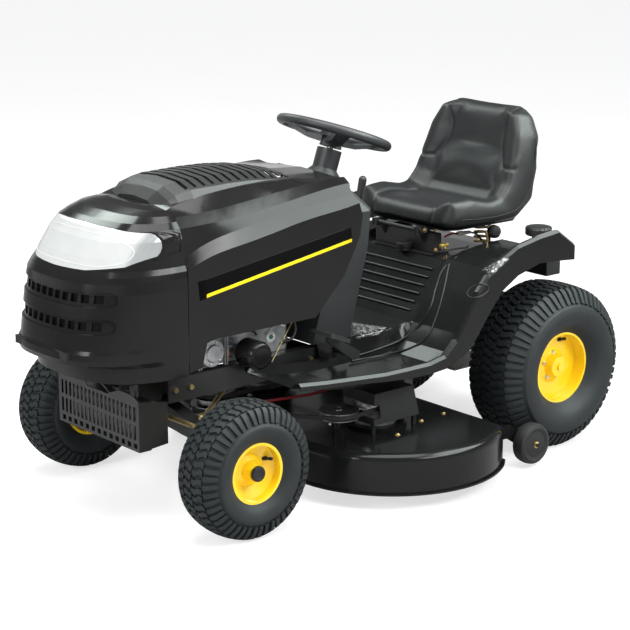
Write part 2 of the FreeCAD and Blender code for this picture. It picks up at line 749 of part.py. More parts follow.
# place along the machine, then the heights of the middle, the floor, the outer lip and its hem
FENDER = [
    (158, 414, 386, 404, 384), (250, 414, 362, 394, 374), (370, 414, 346, 384, 364), (470, 414, 345, 376, 352),
    (560, 414, 345, 375, 344), (640, 414, 345, 375, 342), (700, 414, 350, 386, 346), (745, 416, 378, 425, 362),
    (790, 424, 424, 490, 382), (830, 470, 476, 552, 425), (870, 520, 528, 596, 478), (925, 590, 596, 636, 540),
    (990, 592, 612, 666, 577), (1080, 592, 622, 682, 600), (1160, 592, 624, 690, 596), (1232, 590, 600, 640, 590)]


def fender_section(y, middle, floor, crown, hem):
    """Half tunnel, side step, floor, raised lip and turned-down outer flange, with its inside."""
    wide, tunnel, wall = float(d.fender_half_width), float(d.tunnel_half_width), float(d.fender_wall)
    outer = [
        (0, middle), (tunnel - 12, middle), (tunnel + 6, floor), (wide - 40, floor), (wide - 22, crown - 3),
        (wide - 8, crown), (wide, crown - 8), (wide, hem)]
    shifts = [(0, 1), (1, 1), (1, 1), (0, 1), (0, 1.2), (0, 1), (1, 1), (1, 0)]
    inner = [(x - wall * across, z - wall * down) for (x, z), (across, down) in zip(outer, shifts)]
    return [Vector(x, y, z) for x, z in outer + inner[::-1]]


def fender_deck():
    """One pressing: footrests, stepped tunnel, ribbed riser, seat deck and rear fenders."""
    half = loft([fender_section(*row) for row in FENDER], True)
    mirror = half.mirror(Vector(0, 0, 0), Vector(1, 0, 0))
    solid = half.fuse(mirror)
    clear = Part.makeBox(2 * float(d.tunnel_half_width) - 4, 300, 120,
                         Vector(-float(d.tunnel_half_width) + 2, 130, 360))
    under_dash = Part.makeBox(300, 130, 60, Vector(-150, 425, 390))
    solid = solid.cut([clear, under_dash])
    slot_x = -float(d.lift_lever_x)
    slot = Part.makeBox(32, 175, 220, Vector(slot_x - 16, float(d.lift_shaft_y) + 15, 520))
    shaft = Part.makeCylinder(15, 120, Vector(float(d.tunnel_half_width) - 60, float(d.pedal_shaft_y),
                                              float(d.pedal_shaft_z)), Vector(1, 0, 0))
    pedal_slot = Part.makeBox(60, 60, 30, Vector(float(d.tunnel_half_width) - 14, float(d.pedal_shaft_y) - 30,
                                                 float(d.footrest_z) + 22))
    column = Part.makeCylinder(26, 200, column_point(360), column_axis())
    solid = solid.cut([slot, shaft, pedal_slot, column])
    ribs = []
    for number in range(6):
        share = (number + 0.7) / 6.6
        y, z = 800 + 118 * share, 432 + 148 * share
        ribs.append(Part.makeCylinder(5, 2 * float(d.tunnel_half_width) - 60,
                                      Vector(-float(d.tunnel_half_width) + 30, y, z), Vector(1, 0, 0)))
    return feature(solid.fuse(ribs))


def fuel_tank():
    """A moulded tank under the left rear fender, with its filler neck."""
    top = 570
    body = plate("XY", top - 52, 52, rectangle(188, 330, 1230, 1290))
    neck = rod(20, 69, (262, 1262, top - 6))
    return fused(body, neck)


def fuel_cap():
    """A round screw cap with a rolled rim over the filler neck."""
    return turned([(0, 0), (38, 0), (41, 4), (41, 20), (37, 26), (20, 29), (0, 30)], (262, 1262, 633.3),
                  "XZ", "V_Axis")


# ---------------------------------------------------------------- seat

# along and above the seat's front lower corner: the underside, then the face, and the edge's inset
SEAT_ROWS = [
    (0, 14, 4, 34, 44), (30, 0, 26, 58, 14), (100, 0, 100, 60, 2), (190, 0, 180, 50, 0), (290, 2, 236, 56, 0),
    (366, 54, 278, 104, 2), (394, 150, 306, 176, 8), (408, 246, 332, 256, 20), (407, 304, 350, 314, 50),
    (397, 334, 377, 336, 90)]


def seat_cushion():
    """The high-back bucket seat as one closed form, hollowed towards the rider."""
    base = Vector(0, float(d.seat_front), float(d.seat_pan_z) + 6)
    long = (float(d.seat_back) - float(d.seat_front)) / 415
    tall = (float(d.seat_top) - base.z) / 338
    sections = []
    for under, low, face, high, inset in SEAT_ROWS:
        half = float(d.seat_half_width) - inset
        outer = base + Vector(0, under * long, low * tall)
        inner = base + Vector(0, face * long, high * tall)
        thick = inner - outer
        depth = thick.Length
        bolster = thick * (min(30, depth * 0.5) / depth)
        side = [
            outer + Vector(half - 30, 0, 0), outer + Vector(half - 6, 0, 0) + thick * 0.14,
            outer + Vector(half, 0, 0) + thick * 0.55, inner + Vector(half - 12, 0, 0) + bolster * 0.75,
            inner + Vector(half - 36, 0, 0) + bolster, inner + Vector(half - 62, 0, 0) + bolster * 0.6,
            inner + Vector(half - 92, 0, 0) + thick * (2 / depth)]
        sections.append(side + [Vector(-point.x, point.y, point.z) for point in reversed(side)])
    return feature(loft(sections, True))


def seat_pan():
    """The steel pan under the cushion with the hinge ears at its front."""
    wide, wall = d.seat_half_width - 40, d.pan_wall
    low = d.seat_pan_z
    pan = plate("XY", low, wall, [
        (-wide + 20, d.seat_front + 20), (wide - 20, d.seat_front + 20), (wide, d.seat_front + 60),
        (wide, d.seat_back - 120), (wide - 20, d.seat_back - 90), (20 - wide, d.seat_back - 90),
        (-wide, d.seat_back - 120), (-wide, d.seat_front + 60)])
    ears = []
    for side in (1, -1):
        x = 96 if side > 0 else -102
        ear = plate("YZ", x, 6, [
            (d.seat_hinge_y - 13, d.seat_hinge_z - 12), (d.seat_hinge_y + 14, d.seat_hinge_z - 12),
            (d.seat_front + 60, low), (d.seat_front + 60, low + wall), (d.seat_front + 20, low + wall),
            (d.seat_hinge_y - 13, d.seat_hinge_z + 10)],
            [(d.seat_hinge_y, d.seat_hinge_z, d.seat_hinge_radius + d.running_gap)])
        ears.append(ear)
    return fused(pan, *ears)


def seat_bracket():
    """A raised cross channel on the seat deck that carries the seat's hinge pin."""
    floor = d.deck_z + 2.3
    front = d.seat_hinge_y + 16
    base = plate("YZ", -130, 260, [
        (front, floor), (front + 78, floor), (front + 78, floor + 4), (front + 46, floor + 4),
        (front + 46, d.seat_hinge_z - 12), (front + 14, d.seat_hinge_z - 12), (front + 14, floor + 4),
        (front, floor + 4)])
    ears = []
    for side in (1, -1):
        x = 84 if side > 0 else -92
        ears.append(plate("YZ", x, 8, [
            (d.seat_hinge_y - 12, d.seat_hinge_z - 12), (d.seat_hinge_y + 12, d.seat_hinge_z - 14),
            (front + 16, floor + 30), (front + 16, d.seat_hinge_z - 13), (d.seat_hinge_y + 12, d.seat_hinge_z + 10),
            (d.seat_hinge_y - 12, d.seat_hinge_z + 10)]))
    pin = rod(d.seat_hinge_radius, 216, (-108, d.seat_hinge_y, d.seat_hinge_z), "X")
    return fused(base, pin, *ears)


def seat_springs():
    """Two coil springs on the seat deck that the pan rests on."""
    springs = []
    floor = float(d.deck_z) + 2.3
    rise = float(d.seat_pan_z) - floor - 0.4
    wire = 3.5
    for x in (-120, 120):
        helix = Part.makeHelix((rise - 2 * wire) / 5, rise - 2 * wire, 24)
        profile = Part.Wire(Part.makeCircle(wire, Vector(24, 0, 0), Vector(0, 1, 0)))
        coil = Part.Wire(helix.Edges).makePipeShell([profile], True, True)
        coil.translate(Vector(x, 1160, floor + wire))
        springs.append(feature(coil))
    return group(*springs)


# ---------------------------------------------------------------- drive

def transaxle():
    """Cast housing between the rails with the axle tubes and input pulley."""
    y, z = d.wheelbase, d.rear_tyre_radius
    case = plate("YZ", -96, 192, [
        (y - 170, z - 40), (y - 125, z - 62), (y + 75, z - 62), (y + 95, z - 34), (y + 95, z + 36),
        (y + 65, z + 56), (y - 38, z + 56), (y - 48, z - 4), (y - 170, z - 4)])
    softened(case, 8, lambda edge: abs(abs(edge.CenterOfMass.x) - 96) < 0.1)
    tubes = rod(28, 2 * 176, (-176, y, z), "X")
    pads_height = d.rail_bottom - z + 44
    pads = [block(24, 90, pads_height, (x, y - 45, z - 44)) for x in (152, -176)]
    bore = rod(d.axle_radius + d.running_gap, 400, (-200, y, z), "X")
    shaft = rod(10.05, 60, (0, input_y(), z - 40))
    return cut(fused(case, tubes, *pads), bore, shaft)


def input_y():
    """The transaxle's upright input shaft stands ahead of the axle."""
    return d.wheelbase - 112


def drive_belt():
    """The traction belt from the crankshaft back to the transaxle."""
    return belt([(0, d.crank_y, 46), (0, input_y(), 46)], d.pulley_z + 34.5, 6)


def belt(rounds, z, thickness):
    """A flat loop round pulleys that are given anticlockwise, each by place and radius."""
    faces = []
    for grow in (thickness, 0):
        discs = [(float(x), float(y), float(radius) + grow) for x, y, radius in rounds]
        tangents = []
        for (x1, y1, r1), (x2, y2, r2) in zip(discs, discs[1:] + discs[:1]):
            away = math.atan2(y2 - y1, x2 - x1)
            normal = away - math.acos((r1 - r2) / math.hypot(x2 - x1, y2 - y1))
            way = Vector(math.cos(normal), math.sin(normal), 0)
            tangents.append((Vector(x1, y1, 0) + way * r1, Vector(x2, y2, 0) + way * r2, normal))
        edges = []
        for index, (x, y, radius) in enumerate(discs):
            arrive, leave = tangents[index - 1], tangents[index]
            swing = (leave[2] - arrive[2]) % (2 * math.pi)
            middle = arrive[2] + swing / 2
            top = Vector(x + radius * math.cos(middle), y + radius * math.sin(middle), 0)
            edges.append(Part.Arc(arrive[1], top, leave[0]).toShape())
            edges.append(Part.LineSegment(leave[0], leave[1]).toShape())
        faces.append(Part.Face(Part.Wire(edges)))
    solid = faces[0].cut(faces[1]).extrude(Vector(0, 0, 11))
    solid.translate(Vector(0, 0, float(z)))
    return feature(solid)


def grooved_pulley(radius, height, bore):
    """A V-groove pulley profile, turned round its own axis from z = 0."""
    floor = radius - 13
    return [
        (bore, 0), (radius, 0), (radius, 2.5), (floor, 4.5), (floor, height - 4.5), (radius, height - 2.5),
        (radius, height), (bore, height)]


def engine_pulley():
    """The crankshaft's double pulley: deck belt below, traction belt above, on the blade clutch."""
    bore = d.crank_radius + d.running_gap
    lower = turned(grooved_pulley(d.pulley_radius, d.pulley_height, bore), (0, d.crank_y, d.pulley_z - 11),
                   "XZ", "V_Axis")
    upper = turned(grooved_pulley(58, 24, bore), (0, d.crank_y, d.pulley_z + 28), "XZ", "V_Axis")
    drum = turned([(bore, 0), (50, 0), (50, 19), (bore, 19)], (0, d.crank_y, d.pulley_z + 10), "XZ", "V_Axis")
    return fused(lower, upper, drum)


def transaxle_pulley():
    """The input pulley on its upright shaft."""
    z = d.pulley_z + 28
    wheel = turned(grooved_pulley(58, 24, 1), (0, input_y(), z), "XZ", "V_Axis")
    shaft = rod(10, z - d.rear_tyre_radius + 40, (0, input_y(), d.rear_tyre_radius - 30))
    return fused(wheel, shaft)


# ---------------------------------------------------------------- wheels

def tyre(radius, width, bead, at):
    """A low-pressure turf tyre: crowned tread, round shoulders and bulged sidewalls."""
    half, seat = width / 2, width * 0.36
    edge, drop = half - 26, d.tread_drop
    crown = (edge * edge + drop * drop) / (2 * drop)
    return turned([
        (-seat, bead), (-seat, bead + 9), (-half + 4, bead + 22, 60), (-half + 6, radius - 34, 40), (-edge, radius - drop, crown),
        (edge, radius - drop, 40), (half - 6, radius - 34, 60), (half - 4, bead + 22),
        (seat, bead + 9), (seat, bead), (seat - 8, bead + 16), (half - 18, bead + 34), (half - 18, radius - 38), (half - 34, radius - 24),
        (34 - half, radius - 24), (18 - half, radius - 38), (18 - half, bead + 34), (8 - seat, bead + 16)], at)


def rim(bead, width, face, hub, bore, at, side):
    """A pressed drop-centre rim with a dished disc and a bored hub, its face on the outer side."""
    seat, wall = width * 0.36, d.rim_wall
    lip = seat + wall + 0.4
    low = bead - 0.3
    corners = [
        (-lip, bead + 9), (wall - lip, bead + 9), (wall - lip, low), (-seat + 18, low), (-seat + 28, low - 14),
        (10, low - 14), (20, low), (lip - wall, low), (lip - wall, bead + 9), (lip, bead + 9), (lip, low - wall),
        (32, low - wall), (face - 34, hub + 24), (face - 26, hub + 8), (face, hub), (face, bore),
        (face - 96, bore), (face - 96, hub - 3), (face - 40, hub - 3), (face - 44, hub + 12),
        (12, low - 17 - wall), (-seat + 26, low - 14 - wall), (-seat + 16, low - wall), (-lip, low - wall)]
    return turned([(x * side, reach) for x, reach in corners], at)


def front_rim(side):
    at = (d.front_track / 2 * side, 0, d.front_tyre_radius)
    return rim(d.front_bead_radius, d.front_tyre_width, as_size(50), d.front_hub_radius,
               d.axle_radius + d.running_gap, at, side)


def rear_rim(side):
    """The rear rim carries its axle shaft, keyed into the hub."""
    at = (d.rear_track / 2 * side, d.wheelbase, d.rear_tyre_radius)
    wheel = rim(d.rear_bead_radius, d.rear_tyre_width, as_size(64), d.rear_hub_radius, d.axle_radius - 1, at, side)
    inner_end, outer_end = 4, d.rear_track / 2 + 72
    start = inner_end if side > 0 else -outer_end
    shaft = rod(d.axle_radius, outer_end - inner_end, (start, d.wheelbase, d.rear_tyre_radius), "X")
    return fused(wheel, shaft)


# ---------------------------------------------------------------- front axle and steering

def front_axle():
    """A cast beam: deep pivot boss in the middle, arms that taper to the kingpin bosses."""
    deep = d.beam_depth
    z = d.axle_pivot_z
    x = d.kingpin_x
    low = d.kingpin_boss_bottom
    beam = plate("XZ", -deep / 2, deep, [
        (-x, low + 10), (-x + 24, low + 8), (-64, z - 32), (64, z - 32), (x - 24, low + 8), (x, low + 10),
        (x, low + 44), (x - 24, low + 46), (70, z + 30), (-70, z + 30), (-x + 24, low + 46), (-x, low + 44)])
    bosses = [rod(d.kingpin_boss_radius, d.kingpin_boss_height, (x * side, 0, low)) for side in (1, -1)]
    bores = [rod(d.kingpin_radius + d.running_gap, d.kingpin_boss_height + 20, (x * side, 0, low - 10))
             for side in (1, -1)]
    pivot = rod(d.axle_pivot_radius + d.running_gap, deep + 20, (0, -deep / 2 - 10, z), "Y")
    return cut(fused(beam, *bosses), pivot, *bores)


def spindle(side):
    """Kingpin, stub axle, forward steering arm, and on the left the arm for the drag link."""
    x = d.kingpin_x * side
    low = d.kingpin_boss_bottom
    z = d.front_tyre_radius
    top = d.steer_arm_z
    pin = rod(d.kingpin_radius, top - z + d.arm_wall + 2, (x, 0, z - 2))
    collar = rod(d.kingpin_boss_radius, low - z + 10, (x, 0, z - 11))
    start = x if side > 0 else -(d.front_track / 2 + 58)
    stub = rod(d.axle_radius, d.front_track / 2 + 58 - d.kingpin_x, (start, 0, z), "X")
    arm = plate("XY", top, d.arm_wall, [
        (x - 17, 8), (x - 9, -d.steer_arm - 11), (x + 9, -d.steer_arm - 11), (x + 17, 8)])
    hub = rod(19, d.arm_wall, (x, 0, top))
    ball_pin = rod(5, 16, (x, -d.steer_arm, top + 4))
    knob = ball(d.ball_radius, (x, -d.steer_arm, top + d.arm_wall + 13))
    pieces = [pin, collar, stub, arm, hub, ball_pin, knob]
    if side > 0:
        drag = plate("XY", top, d.arm_wall, [
            (x, -15), (x, 15), (x - d.steer_arm - 10, 9), (x - d.steer_arm - 10, -9)])
        stud = rod(5, 20, (x - d.steer_arm, 0, top + 4))
        pieces += [drag, stud]
    return fused(*pieces)


def tie_rod():
    """The cross rod between the two arms, with a socket at each end."""
    x, y = d.kingpin_x, -d.steer_arm
    z = d.steer_arm_z + d.arm_wall + 13
    shank = rod(d.tie_rod_radius, (x - 14) * 2, (14 - x, y, z), "X")
    sockets = [rod(16, 16, (x * side, y, z - 8)) for side in (1, -1)]
    cups = [ball(d.ball_radius + 0.3, (x * side, y, z)) for side in (1, -1)]
    mouths = [rod(d.ball_radius + 0.3, 12, (x * side, y, z - 12)) for side in (1, -1)]
    return cut(fused(shank, *sockets), *cups, *mouths)


def drag_link():
    """The long rod from the sector's arm forward to the left spindle."""
    z = d.steer_arm_z + d.arm_wall + 5
    front = (d.kingpin_x - d.steer_arm, 0, z)
    rear = (-d.steer_arm, sector_y(), z + 30)
    shank = bar((front[0] - 8, front[1] + 10, front[2] + 5), (rear[0] + 9, rear[1] - 11, rear[2] + 3), 7)
    eye = rod(14, 14, (front[0], front[1], z))
    socket = rod(20, 12, (rear[0], rear[1], rear[2] - 3))
    holes = [rod(5.05, 30, (front[0], front[1], z - 8)), rod(14, 40, (rear[0], rear[1], rear[2] - 16))]
    return cut(fused(shank, eye, socket), *holes)


def sector_y():
    """The sector's pivot is ahead of the pinion, which runs inside its toothed arc."""
    return steering_y - (d.sector_radius - d.pinion_radius)


def gear_face(radius, teeth, depth, first, last, inward):
    """The points of trapezoid teeth along an arc, from one tooth number to another."""
    points = []
    step = 2 * math.pi / teeth
    for number in range(first, last):
        for share, height in ((-0.28, -1), (-0.14, 1), (0.14, 1), (0.28, -1)):
            angle = math.pi / 2 + (number + share + (0.5 if inward else 0)) * step
            reach = radius + height * depth * (-1 if inward else 1)
            points.append(Vector(reach * math.cos(angle), reach * math.sin(angle), 0))
    return points


def pinion():
    """The lower steering shaft: eight teeth inside the sector, and a cup for the upper shaft."""
    base = float(d.sector_z) - 2
    teeth = gear_face(float(d.pinion_radius) - 0.5, 8, 3.0, 0, 8, False)
    gear = Part.Face(Part.makePolygon(teeth + teeth[:1])).extrude(Vector(0, 0, 14))
    shaft = Part.makeCylinder(float(d.pinion_shaft_radius), 62)
    cup = Part.makeCylinder(22, 62, Vector(0, 0, 52)).cut(Part.makeCylinder(17, 60, Vector(0, 0, 60)))
    whole = gear.fuse([shaft, cup])
    whole.translate(Vector(0, float(steering_y), base))
    return feature(whole)


def sector_gear():
    """A flat plate with an inside-toothed arc at the rear and the drag-link arm on the right."""
    radius = float(d.sector_radius)
    teeth = gear_face(radius, 56, 3.0, -7, 7, True)
    rim = radius + 20
    right, back, left = [Vector(rim * math.cos(a), rim * math.sin(a), 0)
                         for a in (math.radians(42), math.pi / 2, math.radians(138))]
    edges = [Part.LineSegment(one, two).toShape() for one, two in zip(teeth, teeth[1:])]
    edges += [Part.LineSegment(teeth[-1], left).toShape(), Part.Arc(left, back, right).toShape(),
              Part.LineSegment(right, teeth[0]).toShape()]
    toothed = Part.Face(Part.Wire(edges)).extrude(Vector(0, 0, 8))
    arms = []
    for side in (1, -1):
        points = [Vector(0, -18, 0), Vector(side * 18, -10, 0), Vector(side * 95, 72, 0), Vector(side * 80, 84, 0),
                  Vector(0, 18, 0)]
        arms.append(Part.Face(Part.makePolygon(points + points[:1])).extrude(Vector(0, 0, 8)))
    reach = float(d.steer_arm)
    arm = Part.makeBox(reach + 12, 26, 8, Vector(-reach - 12, -13, 0))
    boss = Part.makeCylinder(18, 12, Vector(0, 0, -2))
    whole = toothed.fuse(arms + [arm, boss])
    whole = whole.cut(Part.makeCylinder(8 + float(d.running_gap), 30, Vector(0, 0, -10)))
    whole = whole.fuse(Part.makeCylinder(5, 52, Vector(-reach, 0, -44)))
    whole.translate(Vector(0, float(sector_y()), float(d.sector_z)))
    return feature(whole)


def steering_plate():
    """A cross plate over the sector with its pivot pin and the pinion's bearing."""
    wide = d.rail_outside - d.rail_wall
    y, z = sector_y(), d.plate_z
    body = plate("XY", z, 5, rectangle(-wide, wide, y - 36, steering_y + 36),
                 [(0, steering_y, d.pinion_shaft_radius + d.running_gap)])
    pin = rod(8, z - d.sector_z + 8, (0, y, d.sector_z - 8))
    washer = rod(14, 3, (0, y, d.sector_z - 8))
    return fused(body, pin, washer)


def steering_shaft():
    """The tilted shaft from the wheel's hub down to a knuckle in the pinion's cup."""
    low = Vector(0, float(steering_y), float(d.knuckle_z))
    low = column_point(float(d.knuckle_z))
    high = column_point(float(d.wheel_centre_z) - 12)
    way = high - low
    shaft = Part.makeCylinder(float(d.steering_shaft_radius), way.Length, low, way)
    knuckle = Part.makeSphere(14, low)
    return feature(shaft.fuse(knuckle))


def steering_wheel():
    """Moulded rim with finger grips, three dished spokes and a domed hub."""
    radius, grip = float(d.steering_wheel_radius), float(d.steering_rim_radius)
    ring = Part.makeTorus(radius, grip)
    hub = Part.makeCone(34, 26, 34, Vector(0, 0, -44)).fuse(Part.makeCylinder(38, 14, Vector(0, 0, -16)))
    pieces = [hub]
    for angle in (90, 210, 330):
        way = math.radians(angle)
        across = Vector(-math.sin(way), math.cos(way), 0)
        out = Vector(math.cos(way), math.sin(way), 0)
        sections = []
        for reach, half, low, high in ((24, 24, -34, -14), (80, 19, -30, -17), (radius - 4, 22, -8, 3)):
            sections.append([out * reach + across * half + Vector(0, 0, low),
                             out * reach + across * half + Vector(0, 0, high),
                             out * reach - across * half + Vector(0, 0, high),
                             out * reach - across * half + Vector(0, 0, low)])
        pieces.append(loft(sections, True))
    solid = ring.fuse(pieces)
    bore = Part.makeCylinder(float(d.steering_shaft_radius), 60, Vector(0, 0, -72))
    solid = solid.cut(bore)
    solid.Placement = Placement(
        Vector(0, float(d.wheel_centre_y), float(d.wheel_centre_z)),
        Rotation(Vector(1, 0, 0), -float(d.column_tilt)))
    return feature(solid)


# ---------------------------------------------------------------- mower deck

def deck_outline(inset):
    """The deck from above: a half circle on the right and a wider round end on the left."""
    half, y = d.deck_half_length, d.deck_centre_y
    end, left = d.deck_end_radius - inset, d.deck_left_radius - inset
    product = (left - end) * end
    corner = half + Size(2 * math.sqrt(float(product)), f"(2 * sqrt({product.text}))")
    return [(half, y - end, -left), (corner, y + end), (-half, y + end, -end), (-half, y - end)]


def deck_shell():
    """A stamped shell: deep skirt, rolled rim, raised spindle ring and side discharge."""
    low, high, y = d.deck_rim_z, d.deck_top_z, d.deck_centre_y
    half, end, wall = d.deck_half_length, d.deck_end_radius, d.deck_wall
    body = plate("XY", low, high - low, deck_outline(8))
    softened(body, 24, lambda edge: edge.CenterOfMass.z > float(high) - 0.1)
    pad(body, "XY", low, 5, deck_outline(0))
    for inset, below in ((8, 21), (15, 9), (26, 0)):
        pocket(body, "XY", low - 1, high - low - wall + 1 - below, deck_outline(wall + inset))
    pads = []
    for side in (1, -1):
        pads.append((d.spindle_x * side, y, 92))
    pad(body, "XY", high - 1, 9, circles=pads)
    pocket(body, "XY", high - wall - 20, 60, circles=[(d.spindle_x, y, 34), (-d.spindle_x, y, 34)])
    mouth = pocket(body, "YZ", -half - end - 5, 200, rectangle(y - 190, y + 60, low - 1, high - 36))
    body.Tip = mouth
    chute = plate("XZ", y - 200, 270, [
        (-half - 150, high - 32), (-d.chute_reach, high - 32), (-d.chute_reach, high - 29), (-half - 150, high - 29)])
    cheeks = [plate("XZ", start, 3, [
        (-half - root, high - 90), (-d.chute_reach, high - 60), (-d.chute_reach, high - 29), (-half - root, high - 29)])
        for start, root in ((y - 200, 180), (y + 67, 264))]
    knuckles = [rod(9, 24, (-d.chute_reach - 4, y - 200 + place, d.deflector_hinge_z - 30), "Y")
                for place in (0, 246)]
    return fused(body, chute, *cheeks, *knuckles)


def belt_covers():
    """Moulded covers over the two spindle pulleys, open towards the middle for the belt."""
    covers = []
    for side in (1, -1):
        x, y = d.spindle_x * side, d.deck_centre_y
        low = d.deck_top_z + 30
        far, near = (x + 92 * side), (x - 60 * side)
        shell = plate("XY", low, 88, rectangle(near, far, y - 88, y + 88) if side > 0
                      else rectangle(far, near, y - 88, y + 88), taper=-8)
        inside = plate("XY", low - 5, 88, rectangle(near - 30, far - 6, y - 80, y + 80) if side > 0
                       else rectangle(far + 6, near + 30, y - 80, y + 80), taper=-8)
        gap_low, gap_high = d.pulley_z - 20, d.pulley_z + 18
        front_gap = block(166, 40, gap_high - gap_low, (x - 70 - 6 * side, y - 100, gap_low))
        inner_gap = block(40, 190, gap_high - gap_low, (near - 20, y - 95, gap_low))
        legs = [block(10, 10, 34, (x + dx * side - 5, y + dy, d.deck_top_z + 0.2))
                for dx, dy in ((78, -84), (78, 74))]
        covers.append(fused(cut(shell, inside, front_gap, inner_gap), *legs))
    return group(*covers)


def blade_spindle(side):
    """Spindle housing shaft with its V pulley on top."""
    x, y = d.spindle_x * side, d.deck_centre_y
    pulley = turned(grooved_pulley(d.pulley_radius, d.pulley_height, 1), (x, y, d.pulley_z - 11), "XZ", "V_Axis")
    shaft = rod(d.spindle_radius, d.pulley_z - d.blade_z + 24, (x, y, d.blade_z - 12))
    return fused(pulley, shaft)


def spindle_housing():
    """Cast bearing housings bolted in the deck's two raised rings."""
    housings = []
    for side in (1, -1):
        x, y = d.spindle_x * side, d.deck_centre_y
        low, high = d.blade_z + 14, d.pulley_z - 16
        bore = d.spindle_radius + d.running_gap
        top = d.deck_top_z + 8.3
        housings.append(turned([
            (bore, low), (30, low), (33, top), (62, top), (62, top + 8), (36, top + 12), (26, high), (bore, high)],
            (x, y, 0), "XZ", "V_Axis"))
    return group(*housings)


def blade(side):
    """A flat bar with its sharpened tips turned up at the trailing edges."""
    x, y, z = d.spindle_x * side, d.deck_centre_y, d.blade_z
    reach, half = d.blade_radius, d.blade_width / 2
    flat = plate("XY", z, d.blade_wall, [
        (x - reach, y - half + 6), (x - reach + 60, y - half), (x + reach - 60, y - half), (x + reach, y - half + 4),
        (x + reach, y + half - 6), (x + reach - 60, y + half), (x - reach + 60, y + half), (x - reach, y + half - 4)])
    lifts = []
    for end in (1, -1):
        low_x = x + reach - 92 if end > 0 else x - reach
        outline = [(y + (half - 8) * end, z), (y + half * end, z), (y + (half + 14) * end, z + 26),
                   (y + (half + 11) * end, z + 27)]
        lifts.append(plate("YZ", low_x, 92, outline))
    hole = rod(d.spindle_radius, 30, (x, y, z - 10))
    return cut(fused(flat, *lifts), hole)


def idler_pulley():
    """The belt's tension pulley ahead of the left blade, free on the pin of its stand."""
    at = (d.idler_x, d.idler_y, d.pulley_z - 11)
    return turned(grooved_pulley(d.idler_radius, d.pulley_height, as_size(6.05)), at, "XZ", "V_Axis")


def idler_stand():
    """A foot on the deck with the idler's pin."""
    x, y, low = d.idler_x, d.idler_y, d.deck_top_z - 1
    return [rod(20, d.pulley_z - 12 - low, (x, y, low)), rod(6, d.pulley_z + 16 - low, (x, y, low)),
            rod(11, 5, (x, y, d.pulley_z + 12))]


def mower_belt():
    """The deck belt: crankshaft pulley and both spindle pulleys."""
    groove = d.pulley_radius - 10
    rounds = [
        (0, d.crank_y, groove), (d.idler_x, d.idler_y, d.idler_radius - 10), (d.spindle_x, d.deck_centre_y, groove),
        (-d.spindle_x, d.deck_centre_y, groove)]
    return belt(rounds, d.pulley_z - 5.5, 7)


def gauge_wheel(side):
    """A small hard wheel at the deck's rear corner."""
    radius, half = d.gauge_wheel_radius, d.gauge_wheel_width / 2
    return turned([
        (-half, 6.05), (-half, 18), (4 - half, radius - 22), (-half, radius - 12), (4 - half, radius - 3, 60),
        (half - 4, radius - 3), (half, radius - 12), (half - 4, radius - 22), (half, 18), (half, 6.05)],
        (d.gauge_wheel_x * side, d.gauge_wheel_y, d.gauge_wheel_radius + 12))


def wheel_brackets():
    """Arms from the deck's rear corners with the gauge wheels' axle bolts."""
    arms = []
    for side in (1, -1):
        x = (d.gauge_wheel_x - d.gauge_wheel_width / 2 - 12) * side - 4
        z = d.gauge_wheel_radius + 12
        y = d.gauge_wheel_y
        arm = plate("YZ", x, 8, [
            (y - 16, z - 14), (y + 16, z - 14), (y + 16, z + 16), (y - 60, d.deck_top_z - 30),
            (y - 175, d.deck_top_z - 38), (y - 175, d.deck_top_z - 66), (y - 70, d.deck_top_z - 70)])
        reach = d.gauge_wheel_width + 20
        start = x + 4 if side > 0 else x + 4 - reach
        arms.append(fused(arm, rod(6, reach, (start, y, z), "X")))
    return arms


def deck_links():
    """Slotted hanging links at the lift arms and the front stay."""
    links = []
    y = lift_link_y()
    for side in (1, -1):
        x = d.deck_link_x if side > 0 else -d.deck_link_x - 6
        link = plate("YZ", x, 6, [
            (y - 16, d.deck_top_z + 14), (y + 14, d.deck_top_z + 14), (y + 27, d.lift_shaft_z - 26),
            (y + 27, d.lift_shaft_z + 24), (y - 16, d.lift_shaft_z + 24)])
        pocket(link, "YZ", x - 1, 8, rectangle(y - 8, y + 18, d.lift_shaft_z - 14, d.lift_shaft_z + 14))
        foot = plate("XY", d.deck_top_z + 0.2, 5, rectangle(x - 10, x + 16, y - 40, y + 18))
        ear = block(6, 36, 40, (x, y - 18, d.deck_top_z + 1))
        links.append(fused(link, foot, ear))
    return group(*links)


def lift_link_y():
    return d.lift_shaft_y - d.lift_arm


def deflector():
    """The sprung plastic flap that throws the clippings down, on a pin along the chute's edge."""
    y, z = d.deck_centre_y, d.deflector_hinge_z - 30
    x = -d.chute_reach - 4
    tip = -d.deflector_reach
    body = plate("XZ", y - 190, 250, [
        (x + 2, z + 10), (x - 10, z + 10), (tip, 66), (tip, 58), (tip + 8, 58), (x - 2, z - 11), (x + 2, z - 11)])
    cheeks = [plate("XZ", start, 4, [(x - 6, z + 6), (tip + 2, 64), (tip + 8, 52), (x - 4, z - 44)])
              for start in (y - 190, y + 56)]
    bore = rod(5.05, 300, (x, y - 210, z), "Y")
    clear = [rod(9.6, 30, (x, start, z), "Y") for start in (y - 206, y + 44)]
    return cut(fused(body, *cheeks), bore, *clear)


def deflector_pin():
    """The hinge pin of the deflector through the two knuckles."""
    return rod(5, 290, (-d.chute_reach - 4, d.deck_centre_y - 205, d.deflector_hinge_z - 30), "Y")


# ---------------------------------------------------------------- controls

